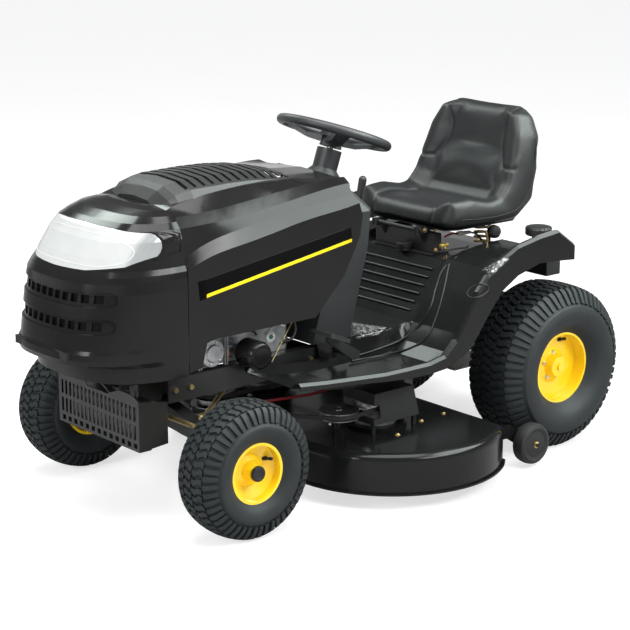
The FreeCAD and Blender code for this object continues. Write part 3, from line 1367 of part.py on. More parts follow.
def lift_lever():
    """Cross shaft with two lift arms and the hand lever up through the right fender."""
    y, z, x = d.lift_shaft_y, d.lift_shaft_z, d.lift_lever_x
    shaft = rod(d.lift_shaft_radius, x + 226, (-x - 6, y, z), "X")
    arms = []
    for side in (1, -1):
        start = d.deck_link_x - 12 if side > 0 else -d.deck_link_x + 4
        arms.append(plate("YZ", start, 8, [
            (y + 14, z - 14), (y + 14, z + 14), (lift_link_y() - 12, z + 11), (lift_link_y() - 12, z - 11)]))
        pin_start = d.deck_link_x - 10 if side > 0 else -d.deck_link_x - 8
        arms.append(rod(6, 18, (pin_start, lift_link_y(), z), "X"))
    top = (-x, y + 76, z + d.lever_length)
    lever = bar((-x, y, z), (top[0], top[1] - 18.5, top[2] - 94), 7)
    grip = bar((-x, top[1] - 20.5, top[2] - 104), top, 13)
    return fused(shaft, lever, grip, ball(13, top), *arms)


def brake_pedal():
    """Clutch and brake pedal: shaft through the left rail, cranked arm and ribbed pad."""
    y, z, x = d.pedal_shaft_y, d.pedal_shaft_z, d.pedal_x
    shaft = rod(d.lift_shaft_radius, x - 140, (140, y, z), "X")
    arm = plate("YZ", x - 8, 10, [
        (y - 12, z - 12), (y + 12, z - 12), (y + 12, z + 12), (d.pedal_y + 20, d.pedal_z - 16),
        (d.pedal_y - 16, d.pedal_z - 4), (d.pedal_y - 16, d.pedal_z - 16)])
    pad_body = plate("YZ", x - 44, 88, [
        (d.pedal_y - 42, d.pedal_z + 8), (d.pedal_y + 30, d.pedal_z - 20), (d.pedal_y + 34, d.pedal_z - 9),
        (d.pedal_y - 38, d.pedal_z + 19)])
    return fused(shaft, arm, pad_body)


def throttle_lever():
    """A small quadrant lever on the dash, right behind the hood."""
    x, y, z = -120, 560, d.dash_top + 52
    hub = rod(6, 14, (x - 7, y, z - 26), "X")
    stem = bar((x, y, z - 26), (x, y - 12, z + 40), 4)
    return fused(bar((x - 11, y - 12, z + 42), (x + 11, y - 12, z + 42), 9), stem, hub)


# ---------------------------------------------------------------- assembly

node("frame_rail_left", frame_rail(1))
node("frame_rail_right", frame_rail(-1))
node("front_cross_member", fused(front_cross_member(), *hood_hinge_ears()))
node("rear_drawbar", rear_drawbar())
node("muffler_guard", muffler_guard())
node("muffler", muffler())
node("frame_bolts", bolt_heads())
node("engine_block", engine_block())
node("blower_housing", blower_housing())
node("oil_filter", oil_filter())
node("steering_plate", steering_plate())
node("dash_panel", dash_panel())
node("fender_deck", fender_deck())
node("fuel_tank", fuel_tank())
node("fuel_cap", fuel_cap())
node("transaxle", transaxle())
node("drive_belt", drive_belt())
node("seat_bracket", seat_bracket())
node("seat_springs", seat_springs())

node("hood_shell", hood_shell())
node("nose_panel", nose_panel())
node("headlight_lens", headlight_lens())
node("louver_cowl", louver_cowl())

node("seat_cushion", seat_cushion())
node("seat_pan", seat_pan())

node("steering_wheel", steering_wheel())
node("steering_shaft", steering_shaft())
node("pinion", pinion())
node("sector_gear", sector_gear())
node("drag_link", drag_link())
node("tie_rod", tie_rod())
node("front_axle", front_axle())
for word, side in SIDES:
    node("spindle_" + word, spindle(side))
    node("front_rim_" + word, front_rim(side))
    front_place = (d.front_track / 2 * side, 0, d.front_tyre_radius)
    rear_place = (d.rear_track / 2 * side, d.wheelbase, d.rear_tyre_radius)
    node("front_tyre_" + word, tyre(
        d.front_tyre_radius, d.front_tyre_width, d.front_bead_radius, front_place))
    node("rear_rim_" + word, rear_rim(side))
    node("rear_tyre_" + word, tyre(
        d.rear_tyre_radius, d.rear_tyre_width, d.rear_bead_radius, rear_place))
    node("blade_spindle_" + word, blade_spindle(side))
    node("blade_" + word, blade(side))
    node("gauge_wheel_" + word, gauge_wheel(side))

node("deck_shell", fused(deck_shell(), deflector_pin(), *wheel_brackets(), *idler_stand()))
node("spindle_housings", spindle_housing())
node("belt_covers", belt_covers())
node("deck_links", deck_links())
node("deflector", deflector())
node("idler_pulley", idler_pulley())
node("mower_belt", mower_belt())
node("engine_pulley", engine_pulley())
node("transaxle_pulley", transaxle_pulley())

node("lift_lever", lift_lever())
node("brake_pedal", brake_pedal())
node("throttle_lever", throttle_lever())

doc.recompute()

# ---------------------------------------------------------------- checks and files

faults = [thing.Label for thing in doc.Objects if {"Invalid", "Error"} & set(thing.State)]
faults += [thing.Label for thing in nodes if thing.Shape.isNull() or not thing.Shape.isValid()]
if faults:
    raise RuntimeError("failed: " + ", ".join(faults))

os.makedirs("parts", exist_ok=True)
for thing in nodes:
    thing.Shape.exportStep(f"parts/{thing.Label}.step")
print(len(nodes), "sub-parts written")
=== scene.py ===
"""Looks of the riding lawn mower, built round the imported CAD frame."""

import json
import math

import bmesh
import bpy
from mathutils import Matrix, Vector
from mathutils.bvhtree import BVHTree


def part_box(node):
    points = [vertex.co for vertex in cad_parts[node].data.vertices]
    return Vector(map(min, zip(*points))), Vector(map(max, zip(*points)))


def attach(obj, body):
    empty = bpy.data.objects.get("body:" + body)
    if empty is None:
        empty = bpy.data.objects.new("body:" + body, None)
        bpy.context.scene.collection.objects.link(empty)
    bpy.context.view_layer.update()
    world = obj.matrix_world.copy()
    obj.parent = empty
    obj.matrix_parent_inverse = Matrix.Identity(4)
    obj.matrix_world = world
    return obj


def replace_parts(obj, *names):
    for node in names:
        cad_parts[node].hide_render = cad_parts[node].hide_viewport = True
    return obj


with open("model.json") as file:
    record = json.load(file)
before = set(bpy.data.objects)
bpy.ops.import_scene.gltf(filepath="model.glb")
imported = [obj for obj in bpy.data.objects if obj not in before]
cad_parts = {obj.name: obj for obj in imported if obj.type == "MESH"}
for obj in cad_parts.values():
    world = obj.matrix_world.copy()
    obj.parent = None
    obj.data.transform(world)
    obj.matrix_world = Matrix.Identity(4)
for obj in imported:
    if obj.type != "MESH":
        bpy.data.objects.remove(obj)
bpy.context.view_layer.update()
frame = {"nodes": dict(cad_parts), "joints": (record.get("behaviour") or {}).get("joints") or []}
NODES = frame["nodes"]
JOINTS = {joint["name"]: joint for joint in frame["joints"]}


# ---------------------------------------------------------------- places

def low(node):
    """Lowest corner of a CAD node."""
    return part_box(node)[0]


def high(node):
    """Highest corner of a CAD node."""
    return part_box(node)[1]


def middle(node):
    """Centre of a CAD node's box."""
    return (low(node) + high(node)) / 2


def pivot(joint):
    """A point on a joint's axis."""
    return Vector(JOINTS[joint]["pos_m"])


CENTRE_X = middle("steering_wheel").x
AXLE_Y = pivot("axle_rock").y


def spot(across, along, height):
    """A place in the frame: left of the middle plane, behind the front axle, above the ground, in mm."""
    return Vector((CENTRE_X + across / 1000, AXLE_Y + along / 1000, height / 1000))


# ---------------------------------------------------------------- materials

def new_material(name):
    """An empty node material and its shader."""
    made = bpy.data.materials.new(name)
    made.use_nodes = True
    shader = made.node_tree.nodes["Principled BSDF"]
    return made, made.node_tree, shader


def noise(tree, scale, detail=4.0, roughness=0.55, stretch=(1, 1, 1)):
    """A noise texture in object coordinates."""
    place = tree.nodes.new("ShaderNodeTexCoord")
    mapping = tree.nodes.new("ShaderNodeMapping")
    mapping.inputs["Scale"].default_value = stretch
    grain = tree.nodes.new("ShaderNodeTexNoise")
    grain.inputs["Scale"].default_value = scale
    grain.inputs["Detail"].default_value = detail
    grain.inputs["Roughness"].default_value = roughness
    tree.links.new(place.outputs["Object"], mapping.inputs["Vector"])
    tree.links.new(mapping.outputs["Vector"], grain.inputs["Vector"])
    return grain


def ramp(tree, source, stops):
    """A colour ramp on a source value; stops are (position, colour)."""
    made = tree.nodes.new("ShaderNodeValToRGB")
    for index, (position, colour) in enumerate(stops):
        element = made.color_ramp.elements[index] if index < 2 else made.color_ramp.elements.new(position)
        element.position = position
        element.color = (*colour, 1)
    tree.links.new(source, made.inputs["Fac"])
    return made.outputs["Color"]


def span(tree, source, lowest, highest):
    """A source value of 0 to 1 brought to a range."""
    made = tree.nodes.new("ShaderNodeMapRange")
    made.inputs["To Min"].default_value = lowest
    made.inputs["To Max"].default_value = highest
    tree.links.new(source, made.inputs["Value"])
    return made.outputs["Result"]


def bump(tree, shader, source, depth, strength=1.0, below=None):
    """Surface relief of a depth in metres."""
    made = tree.nodes.new("ShaderNodeBump")
    made.inputs["Strength"].default_value = strength
    made.inputs["Distance"].default_value = depth
    tree.links.new(source, made.inputs["Height"])
    if below is not None:
        tree.links.new(below, made.inputs["Normal"])
    tree.links.new(made.outputs["Normal"], shader.inputs["Normal"])
    return made.outputs["Normal"]


def shade(colour, factor):
    """A colour made lighter or darker."""
    return tuple(channel * factor for channel in colour)


def finish(name, colour, rough, metal=0.0, coat=0.0, specular=0.5, grain=300.0, relief=0.0,
           vary=0.12, blotch=7.0, stretch=(1, 1, 1)):
    """A material whose colour drifts slowly, with fine grain in its roughness and relief."""
    made, tree, shader = new_material(name)
    slow = noise(tree, blotch, 3.0)
    fine = noise(tree, grain, 3.0, 0.6, stretch)
    shader.inputs["Metallic"].default_value = metal
    shader.inputs["Coat Weight"].default_value = coat
    shader.inputs["Coat Roughness"].default_value = 0.05
    shader.inputs["Specular IOR Level"].default_value = specular
    colours = ramp(tree, slow.outputs["Fac"], [(0.3, shade(colour, 1 - vary)), (0.7, shade(colour, 1 + vary))])
    tree.links.new(colours, shader.inputs["Base Color"])
    rough_range = span(tree, fine.outputs["Fac"], max(rough - 0.06, 0.02), min(rough + 0.08, 1))
    tree.links.new(rough_range, shader.inputs["Roughness"])
    if relief:
        bump(tree, shader, fine.outputs["Fac"], relief)
    return made


def gloss_black():
    """Deep black gloss of the hood, with the faint waviness of moulded and painted sheet."""
    return finish("gloss_black", (0.0098, 0.0095, 0.0097), 0.12, specular=0.16, grain=9, relief=0.0005, vary=0.08)


def fender_black():
    """Gloss black baked paint on the fender deck and mower deck."""
    return finish("fender_black", (0.0085, 0.0088, 0.009), 0.15, specular=0.17, grain=11, relief=0.0005)


def frame_black():
    """Satin black powder coat with fine orange peel."""
    return finish("frame_black", (0.014, 0.0142, 0.0148), 0.42, specular=0.4, grain=700, relief=0.00012)


def dash_grey():
    """Textured dark grey moulded plastic of the dash and steering wheel."""
    return finish("dash_grey", (0.021, 0.0235, 0.0245), 0.4, specular=0.4, grain=1100, relief=0.00018, vary=0.06)


def dull_plastic():
    """Matte black plastic of covers, cap and knobs."""
    return finish("dull_plastic", (0.011, 0.011, 0.0115), 0.5, specular=0.35, grain=900, relief=0.00015)


def cowl_plastic():
    """Matte black plastic of the raised louvres."""
    return finish("cowl_plastic", (0.013, 0.0135, 0.014), 0.46, specular=0.4, grain=900, relief=0.00015)


def tyre_rubber():
    """Dusty dark rubber with faint mould grain."""
    return finish("tyre_rubber", (0.0135, 0.0172, 0.0186), 0.62, specular=0.28, grain=520, relief=0.00018, vary=0.16,
                  blotch=22)


def belt_rubber():
    """Dull black rubber of belts and small wheels."""
    return finish("belt_rubber", (0.012, 0.012, 0.0125), 0.6, specular=0.3, grain=800, relief=0.0001)


def wheel_yellow():
    """Bright yellow gloss enamel."""
    return finish("wheel_yellow", (0.92, 0.62, 0.012), 0.24, coat=0.35, specular=0.4, grain=40, relief=0.0001,
                  vary=0.045)


def brushed(name, colour, rough):
    """Bright turned steel with streaks round its axis."""
    return finish(name, colour, rough, metal=1.0, grain=240, relief=0.00006, stretch=(1, 1, 12), vary=0.14)


def zinc_gold():
    """Yellow passivated zinc with a drifting tint."""
    return finish("zinc_gold", (0.62, 0.47, 0.22), 0.34, metal=1.0, grain=420, relief=0.00004, vary=0.25, blotch=40)


def cast_aluminium():
    """Sand-cast aluminium, bright and pebbled."""
    return finish("cast_aluminium", (0.4, 0.41, 0.42), 0.42, metal=0.85, grain=420, relief=0.0003, vary=0.2,
                  blotch=30)


def cast_iron():
    """Painted rough cast iron."""
    return finish("cast_iron", (0.02, 0.0205, 0.021), 0.5, specular=0.4, grain=420, relief=0.0004)


def vinyl():
    """Black seat vinyl: pebbled leather grain under a soft sheen."""
    made, tree, shader = new_material("vinyl")
    place = tree.nodes.new("ShaderNodeTexCoord")
    cells = tree.nodes.new("ShaderNodeTexVoronoi")
    cells.feature = "DISTANCE_TO_EDGE"
    cells.inputs["Scale"].default_value = 420
    tree.links.new(place.outputs["Object"], cells.inputs["Vector"])
    slow = noise(tree, 9, 3)
    colours = ramp(tree, slow.outputs["Fac"], [(0.3, (0.0082, 0.0092, 0.0098)), (0.7, (0.0115, 0.0126, 0.0132))])
    tree.links.new(colours, shader.inputs["Base Color"])
    tree.links.new(span(tree, slow.outputs["Fac"], 0.38, 0.5), shader.inputs["Roughness"])
    shader.inputs["Specular IOR Level"].default_value = 0.34
    creases = noise(tree, 26, 5, 0.6)
    low_relief = bump(tree, shader, creases.outputs["Fac"], 0.0012, 0.5)
    bump(tree, shader, cells.outputs["Distance"], 0.0005, 0.35, low_relief)
    return made


def frosted_lens():
    """Pale translucent lens with fine vertical flutes."""
    made, tree, shader = new_material("frosted_lens")
    slow = noise(tree, 6, 2)
    place = tree.nodes.new("ShaderNodeTexCoord")
    split = tree.nodes.new("ShaderNodeSeparateXYZ")
    tree.links.new(place.outputs["Object"], split.inputs[0])
    off = tree.nodes.new("ShaderNodeMath")
    off.operation = "SUBTRACT"
    off.inputs[1].default_value = (NODES["headlight_lens"].matrix_world.inverted() @ spot(0, 0, 0)).x
    tree.links.new(split.outputs["X"], off.inputs[0])
    away = tree.nodes.new("ShaderNodeMath")
    away.operation = "ABSOLUTE"
    tree.links.new(off.outputs[0], away.inputs[0])
    ends = ramp(tree, away.outputs[0], [(0.196, (1, 1, 1)), (0.206, (0.62, 0.63, 0.64))])
    clouds = ramp(tree, slow.outputs["Fac"], [(0.3, (0.37, 0.38, 0.375)), (0.7, (0.44, 0.455, 0.45))])
    both = tree.nodes.new("ShaderNodeMix")
    both.data_type = "RGBA"
    both.blend_type = "MULTIPLY"
    both.inputs["Factor"].default_value = 1
    tree.links.new(ends, both.inputs["A"])
    tree.links.new(clouds, both.inputs["B"])
    tree.links.new(both.outputs["Result"], shader.inputs["Base Color"])
    flutes = tree.nodes.new("ShaderNodeTexWave")
    flutes.inputs["Scale"].default_value = 45
    flutes.inputs["Distortion"].default_value = 0.2
    tree.links.new(place.outputs["Object"], flutes.inputs["Vector"])
    tree.links.new(span(tree, slow.outputs["Fac"], 0.12, 0.2), shader.inputs["Roughness"])
    bump(tree, shader, flutes.outputs["Fac"], 0.0008, 0.35)
    shader.inputs["Coat Weight"].default_value = 0.3
    return made


GLOSS = gloss_black()
FENDER = fender_black()
FRAME = frame_black()
DASH = dash_grey()
DULL = dull_plastic()
COWL = cowl_plastic()
TYRE = tyre_rubber()
BELT = belt_rubber()
YELLOW = wheel_yellow()
STEEL = brushed("steel", (0.6, 0.6, 0.59), 0.3)
DARK_STEEL = brushed("dark_steel", (0.2, 0.2, 0.2), 0.38)
GOLD = zinc_gold()
CAST = cast_aluminium()
IRON = cast_iron()
VINYL = vinyl()
LENS = frosted_lens()
DECAL = finish("decal_black", (0.0012, 0.0012, 0.0013), 0.45, specular=0.06, grain=60, vary=0.1)
STRIPE = finish("stripe_yellow", (0.86, 0.68, 0.01), 0.35, specular=0.2, grain=60, vary=0.05)
COPPER = brushed("copper", (0.6, 0.27, 0.15), 0.35)
WIRE_RED = finish("wire_red", (0.3, 0.012, 0.015), 0.4, grain=400)
BRASS = finish("brass_yellow", (0.6, 0.42, 0.08), 0.4, metal=0.4, grain=300)
PALE = finish("pale_plastic", (0.55, 0.56, 0.54), 0.45, grain=300)

# The angle in degrees above which an edge stays sharp, where it isn't 32.
CREASE_ANGLES = {"hood_shell": 9, "nose_panel": 24, "louver_cowl": 45, "seat_cushion": 60}

NODE_LOOKS = {
    "hood_shell": GLOSS, "nose_panel": GLOSS, "headlight_lens": LENS, "louver_cowl": COWL,
    "frame_rail_left": FRAME, "frame_rail_right": FRAME, "front_cross_member": FRAME, "rear_drawbar": FRAME,
    "muffler_guard": FRAME, "muffler": DARK_STEEL, "frame_bolts": GOLD, "engine_block": CAST,
    "blower_housing": DULL, "oil_filter": GLOSS, "steering_plate": FRAME, "dash_panel": DASH,
    "fender_deck": FENDER, "fuel_tank": DULL, "fuel_cap": DULL, "transaxle": CAST, "drive_belt": BELT,
    "seat_bracket": FRAME, "seat_springs": GOLD, "seat_cushion": VINYL, "seat_pan": FRAME,
    "steering_wheel": DASH, "steering_shaft": DARK_STEEL, "pinion": STEEL, "sector_gear": STEEL,
    "drag_link": GOLD, "tie_rod": GOLD, "front_axle": IRON, "spindle_left": IRON, "spindle_right": IRON,
    "front_rim_left": YELLOW, "front_rim_right": YELLOW, "front_tyre_left": TYRE, "front_tyre_right": TYRE,
    "rear_rim_left": YELLOW, "rear_rim_right": YELLOW, "rear_tyre_left": TYRE, "rear_tyre_right": TYRE,
    "deck_shell": FENDER, "spindle_housings": CAST, "belt_covers": DULL, "deck_links": STEEL,
    "deflector": FRAME, "blade_spindle_left": STEEL, "blade_spindle_right": STEEL, "blade_left": STEEL,
    "blade_right": STEEL, "idler_pulley": DARK_STEEL, "mower_belt": BELT, "gauge_wheel_left": BELT,
    "gauge_wheel_right": BELT, "engine_pulley": DARK_STEEL, "transaxle_pulley": DARK_STEEL,
    "lift_lever": FRAME, "brake_pedal": FRAME, "throttle_lever": DULL,
}


def dress(node):
    """Puts a node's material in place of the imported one."""
    thing = NODES[node]
    thing.data.materials.clear()
    thing.data.materials.append(NODE_LOOKS[node])
    smooth_by_angle(thing, CREASE_ANGLES.get(node, 32))


def smooth_by_angle(thing, degrees=32):
    """Smooth shading that keeps the edges sharper than an angle."""
    for face in thing.data.polygons:
        face.use_smooth = True
    with bpy.context.temp_override(object=thing, active_object=thing, selected_objects=[thing],
                                   selected_editable_objects=[thing]):
        bpy.ops.object.shade_smooth_by_angle(angle=math.radians(degrees))


for name in NODES:
    dress(name)


# ---------------------------------------------------------------- shapes

def piece(name, points, faces, material, body, angle=32):
    """A mesh that rides on a CAD body."""
    mesh = bpy.data.meshes.new(name)
    mesh.from_pydata([tuple(point) for point in points], [], faces)
    mesh.update()
    thing = bpy.data.objects.new(name, mesh)
    bpy.context.scene.collection.objects.link(thing)
    mesh.materials.append(material)
    tidy = bmesh.new()
    tidy.from_mesh(mesh)
    bmesh.ops.recalc_face_normals(tidy, faces=tidy.faces)
    tidy.to_mesh(mesh)
    tidy.free()
    smooth_by_angle(thing, angle)
    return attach(thing, body)


def across_of(way):
    """Two directions square to one another and to a given one."""
    other = Vector((0, 0, 1)) if abs(way.z) < 0.9 else Vector((1, 0, 0))
    first = way.cross(other).normalized()
    return first, way.cross(first).normalized()


def lathe(name, start, way, outline, material, body, steps=32, angle=32):
    """A form turned round an axis; outline is (along, reach) in metres, from one end to the other."""
    way = Vector(way).normalized()
    first, second = across_of(way)
    points, faces = [], []
    for along, reach in outline:
        for step in range(steps):
            turn = 2 * math.pi * step / steps
            points.append(Vector(start) + way * along + (first * math.cos(turn) + second * math.sin(turn)) * reach)
    for ring in range(len(outline) - 1):
        for step in range(steps):
            after = (step + 1) % steps
            faces.append((ring * steps + step, ring * steps + after, (ring + 1) * steps + after,
                          (ring + 1) * steps + step))
    last = (len(outline) - 1) * steps
    faces.append(tuple(range(steps)))
    faces.append(tuple(range(last, last + steps)))
    return piece(name, points, faces, material, body, angle)


def bolt(name, place, way, size, material, body, washer=True):
    """A domed hexagon head on a washer, lying on a surface at a place."""
    outline = [(0, size * 0.86), (size * 0.55, size * 0.86), (size * 0.7, size * 0.66)]
    head = lathe(name, place, way, outline, material, body, 6, 20)
    if washer:
        outline = [(0, size * 1.25), (size * 0.16, size * 1.25)]
        lathe(name + "_washer", place, way, outline, material, body, 20)
    return head


def tube(name, points, radius, material, body, steps=8, smooth=True, closed=False):
    """A round rod or hose through points."""
    curve = bpy.data.curves.new(name, "CURVE")
    curve.dimensions = "3D"
    curve.bevel_depth = radius
    curve.bevel_resolution = steps // 4 + 1
    curve.use_fill_caps = True
    line = curve.splines.new("BEZIER" if smooth else "POLY")
    if smooth:
        line.bezier_points.add(len(points) - 1)
        for knot, point in zip(line.bezier_points, points):
            knot.co = point
            knot.handle_left_type = knot.handle_right_type = "AUTO"
    else:
        line.points.add(len(points) - 1)
        for knot, point in zip(line.points, points):
            knot.co = (*point, 1)
    line.use_cyclic_u = closed
    thing = bpy.data.objects.new(name, curve)
    bpy.context.scene.collection.objects.link(thing)
    curve.materials.append(material)
    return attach(thing, body)


def block(name, corner, other, material, body, bevel=0.0015):
    """A box between two corners with small bevels."""
    low_corner = Vector([min(pair) for pair in zip(corner, other)])
    high_corner = Vector([max(pair) for pair in zip(corner, other)])
    shape = bmesh.new()
    bmesh.ops.create_cube(shape, size=1)
    for vertex in shape.verts:
        vertex.co = [low_corner[axis] + (vertex.co[axis] + 0.5) * (high_corner[axis] - low_corner[axis])
                     for axis in range(3)]
    if bevel:
        bmesh.ops.bevel(shape, geom=shape.edges, offset=bevel, segments=2, affect="EDGES")
    mesh = bpy.data.meshes.new(name)
    shape.to_mesh(mesh)
    shape.free()
    mesh.materials.append(material)
    thing = bpy.data.objects.new(name, mesh)
    bpy.context.scene.collection.objects.link(thing)
    smooth_by_angle(thing)
    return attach(thing, body)


def skin(*nodes):
    """The surfaces of CAD nodes, for finding points on them."""
    points, faces = [], []
    for node in nodes:
        thing = NODES[node]
        start = len(points)
        points += [thing.matrix_world @ vertex.co for vertex in thing.data.vertices]
        faces += [tuple(start + index for index in face.vertices) for face in thing.data.polygons]
    return BVHTree.FromPolygons(points, faces)


def landing(surface, start, way, lift=0.0):
    """Where a ray meets a surface, lifted off it towards the start; None if it misses."""
    way = Vector(way).normalized()
    place = surface.ray_cast(Vector(start), way)[0]
    return None if place is None else place - way * lift


# ---------------------------------------------------------------- tyres

class Section:
    """Half of a tyre's outer outline, taken from its CAD node, by arc length from the middle of the tread."""

    def __init__(self, node):
        low_corner, high_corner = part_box(node)
        self.centre = (low_corner + high_corner) / 2
        thing = NODES[node]
        rings = set()
        for vertex in thing.data.vertices:
            place = thing.matrix_world @ vertex.co - self.centre
            rings.add((round(abs(place.x), 4), round(math.hypot(place.y, place.z), 4)))
        self.radius = max(reach for _, reach in rings)
        rings.add((0, self.radius))
        self.line = self.outer(sorted(rings))
        self.reach = [0]
        for start, end in zip(self.line, self.line[1:]):
            self.reach.append(self.reach[-1] + math.dist(start, end))

    def outer(self, rings):
        """The convex outer side of the outline, from the tread's middle down to the widest point and the bead."""
        hull = []
        for point in rings:
            while len(hull) > 1 and self.turn(hull[-2], hull[-1], point) >= 0:
                hull.pop()
            hull.append(point)
        lower = []
        for point in reversed(rings):
            while len(lower) > 1 and self.turn(lower[-2], lower[-1], point) >= 0:
                lower.pop()
            lower.append(point)
        seat = [point for point in lower[1:] if point[0] > hull[-1][0] * 0.6]
        return hull + seat

    @staticmethod
    def turn(first, second, third):
        """Positive where three points turn to the left."""
        return ((second[0] - first[0]) * (third[1] - first[1])
                - (second[1] - first[1]) * (third[0] - first[0]))

    def at(self, distance):
        """(across, reach) at a signed distance over the tread, and the outward direction there."""
        side = 1 if distance >= 0 else -1
        distance = min(abs(distance), self.reach[-1] - 1e-6)
        for index in range(len(self.reach) - 1):
            if distance <= self.reach[index + 1]:
                break
        start, end = self.line[index], self.line[index + 1]
        length = self.reach[index + 1] - self.reach[index]
        share = (distance - self.reach[index]) / length
        across = start[0] + (end[0] - start[0]) * share
        reach = start[1] + (end[1] - start[1]) * share
        out = ((start[1] - end[1]) / length, (end[0] - start[0]) / length)
        return across * side, reach, out[0] * side, out[1]

    def place(self, distance, turn, depth=0.0):
        """A point of the tyre at a distance over the tread and an angle round it, sunk by a depth."""
        across, reach, out_across, out_reach = self.at(distance)
        reach -= depth * out_reach
        return self.centre + Vector((across - depth * out_across, reach * math.cos(turn), reach * math.sin(turn)))


def turf_tyre(node, body, lugs):
    """A turf tyre: a sunk carcass with waved blocks across its tread and radial lugs on its shoulders."""
    section = Section(node)
    total = section.reach[-1]
    drop = 0.0065
    shoulder = total * 0.52
    around, down = 120, 30
    points, faces = [], []
    for step in range(around):
        turn = 2 * math.pi * step / around
        for index in range(-down, down + 1):
            distance = total * index / down
            sink = drop * min(1, max(0, (shoulder + 0.012 - abs(distance)) / 0.01))
            ridge = 0.0012 if 0.8 < abs(index) / down < 0.84 else 0
            points.append(section.place(distance, turn, sink + 0.0002 - ridge * 0.1))
    width = 2 * down + 1
    for step in range(around):
        after = (step + 1) % around
        for index in range(width - 1):
            faces.append((step * width + index, step * width + index + 1, after * width + index + 1,
                          after * width + index))
        faces.append((step * width, after * width, after * width + width - 1, step * width + width - 1))
    pitch = 2 * math.pi / lugs
    bands = [
        (0.56, 1.0, 0.0, 0.0, 0.66), (0.16, 0.52, 0.5, 0.16, 0.7), (-0.19, 0.12, 0.0, -0.2, 0.7),
        (-0.52, -0.23, 0.45, 0.18, 0.7), (-1.0, -0.56, 0.1, 0.0, 0.66)]
    for lug in range(lugs):
        for first, last, shift, wave, fill in bands:
            stagger = 0.1 * math.sin(lug * 2.4 + first * 9)
            start = len(points)
            steps = 5
            for step in range(steps):
                share = step / (steps - 1)
                distance = shoulder * (first + (last - first) * share)
                bend = wave * math.sin(share * 2 * math.pi) + stagger * share
                middle_turn = pitch * (lug + shift + bend)
                for depth, grow in ((0, 0.84), (drop + 0.001, 1.0)):
                    half = pitch * fill / 2 * grow
                    points.append(section.place(distance, middle_turn - half, depth))
                    points.append(section.place(distance, middle_turn + half, depth))
            for step in range(steps - 1):
                base = start + step * 4
                faces.append((base, base + 1, base + 5, base + 4))
                faces.append((base, base + 4, base + 6, base + 2))
                faces.append((base + 1, base + 3, base + 7, base + 5))
            end = start + (steps - 1) * 4
            faces.append((start, start + 2, start + 3, start + 1))
            faces.append((end, end + 1, end + 3, end + 2))
    thing = piece(node + "_tread", points, faces, TYRE, body, 28)
    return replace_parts(thing, node)


for side in ("left", "right"):
    turf_tyre("front_tyre_" + side, "front_wheel_" + side, 48)
    turf_tyre("rear_tyre_" + side, "rear_wheel_" + side, 62)


# ---------------------------------------------------------------- wheels

def wheel_trim(side):
    """Hub cap, valves, bolts and the gauge wheel's pivot bolt on one side."""
    sign = 1 if side == "left" else -1
    out = Vector((sign, 0, 0))
    hub = pivot("front_roll_" + side)
    face = high("front_rim_" + side).x if sign > 0 else low("front_rim_" + side).x
    cap = Vector((face, hub.y, hub.z))
    lathe("hub_cap_" + side, cap, out, [
        (-0.002, 0.0215), (0.004, 0.0215), (0.006, 0.0205), (0.007, 0.0175), (0.0072, 0.013),
        (0.0058, 0.012), (0.0058, 0.0)], BELT, "front_wheel_" + side, 28)
    for axle, angle, distance in (("front", 25, 0.055), ("rear", 68, 0.08)):
        body = axle + "_wheel_" + side
        centre = pivot(axle + "_roll_" + side)
        turn = math.radians(angle)
        offset = Vector((0, math.cos(turn), math.sin(turn))) * distance
        surface = skin(axle + "_rim_" + side)
        start = Vector((centre.x + sign * 0.2, centre.y, centre.z)) + offset
        base = landing(surface, start, -out)
        if base is None:
            continue
        lean = (out * 0.8 + offset.normalized() * 0.25).normalized()
        lathe(axle + "_valve_" + side, base - lean * 0.003, lean, [
            (0, 0.006), (0.012, 0.0055), (0.013, 0.0038), (0.02, 0.0038), (0.021, 0.0048), (0.03, 0.0046),
            (0.031, 0.002)], BELT, body, 16)
    centre = pivot("rear_roll_" + side)
    surface = skin("rear_rim_" + side)
    for index in range(5):
        turn = math.radians(72 * index + 18)
        offset = Vector((0, math.cos(turn), math.sin(turn))) * 0.041
        base = landing(surface, Vector((centre.x + sign * 0.2, centre.y, centre.z)) + offset, -out)
        if base is not None:
            bolt("rear_bolt_%s_%d" % (side, index), base, out, 0.0075, STEEL, "rear_wheel_" + side, False)
    centre = pivot("gauge_roll_" + side)
    surface = skin("gauge_wheel_" + side)
    base = landing(surface, centre + out * 0.2 + Vector((0, 0, 0.012)), -out)
    bolt("gauge_bolt_" + side, Vector((base.x, centre.y, centre.z)), out, 0.008, GOLD, "gauge_wheel_" + side)


wheel_trim("left")
wheel_trim("right")


# ---------------------------------------------------------------- hood

def lens_rim():
    """The raised outline of the reflectors behind the lens."""
    surface = skin("headlight_lens")
    points = []
    for step in range(72):
        turn = 2 * math.pi * step / 72
        across = 203 * math.copysign(abs(math.cos(turn)) ** 0.5, math.cos(turn))
        height = 779 - 8 * (abs(across) / 203) ** 2 + 37 * math.copysign(abs(math.sin(turn)) ** 0.8, math.sin(turn))
        place = landing(surface, spot(across, -600, height), (0, 1, 0))
        if place is not None:
            points.append(place)
    tube("lens_outline", points, 0.0009, PALE, "hood", 8, False, True)


lens_rim()


# ---------------------------------------------------------------- seat

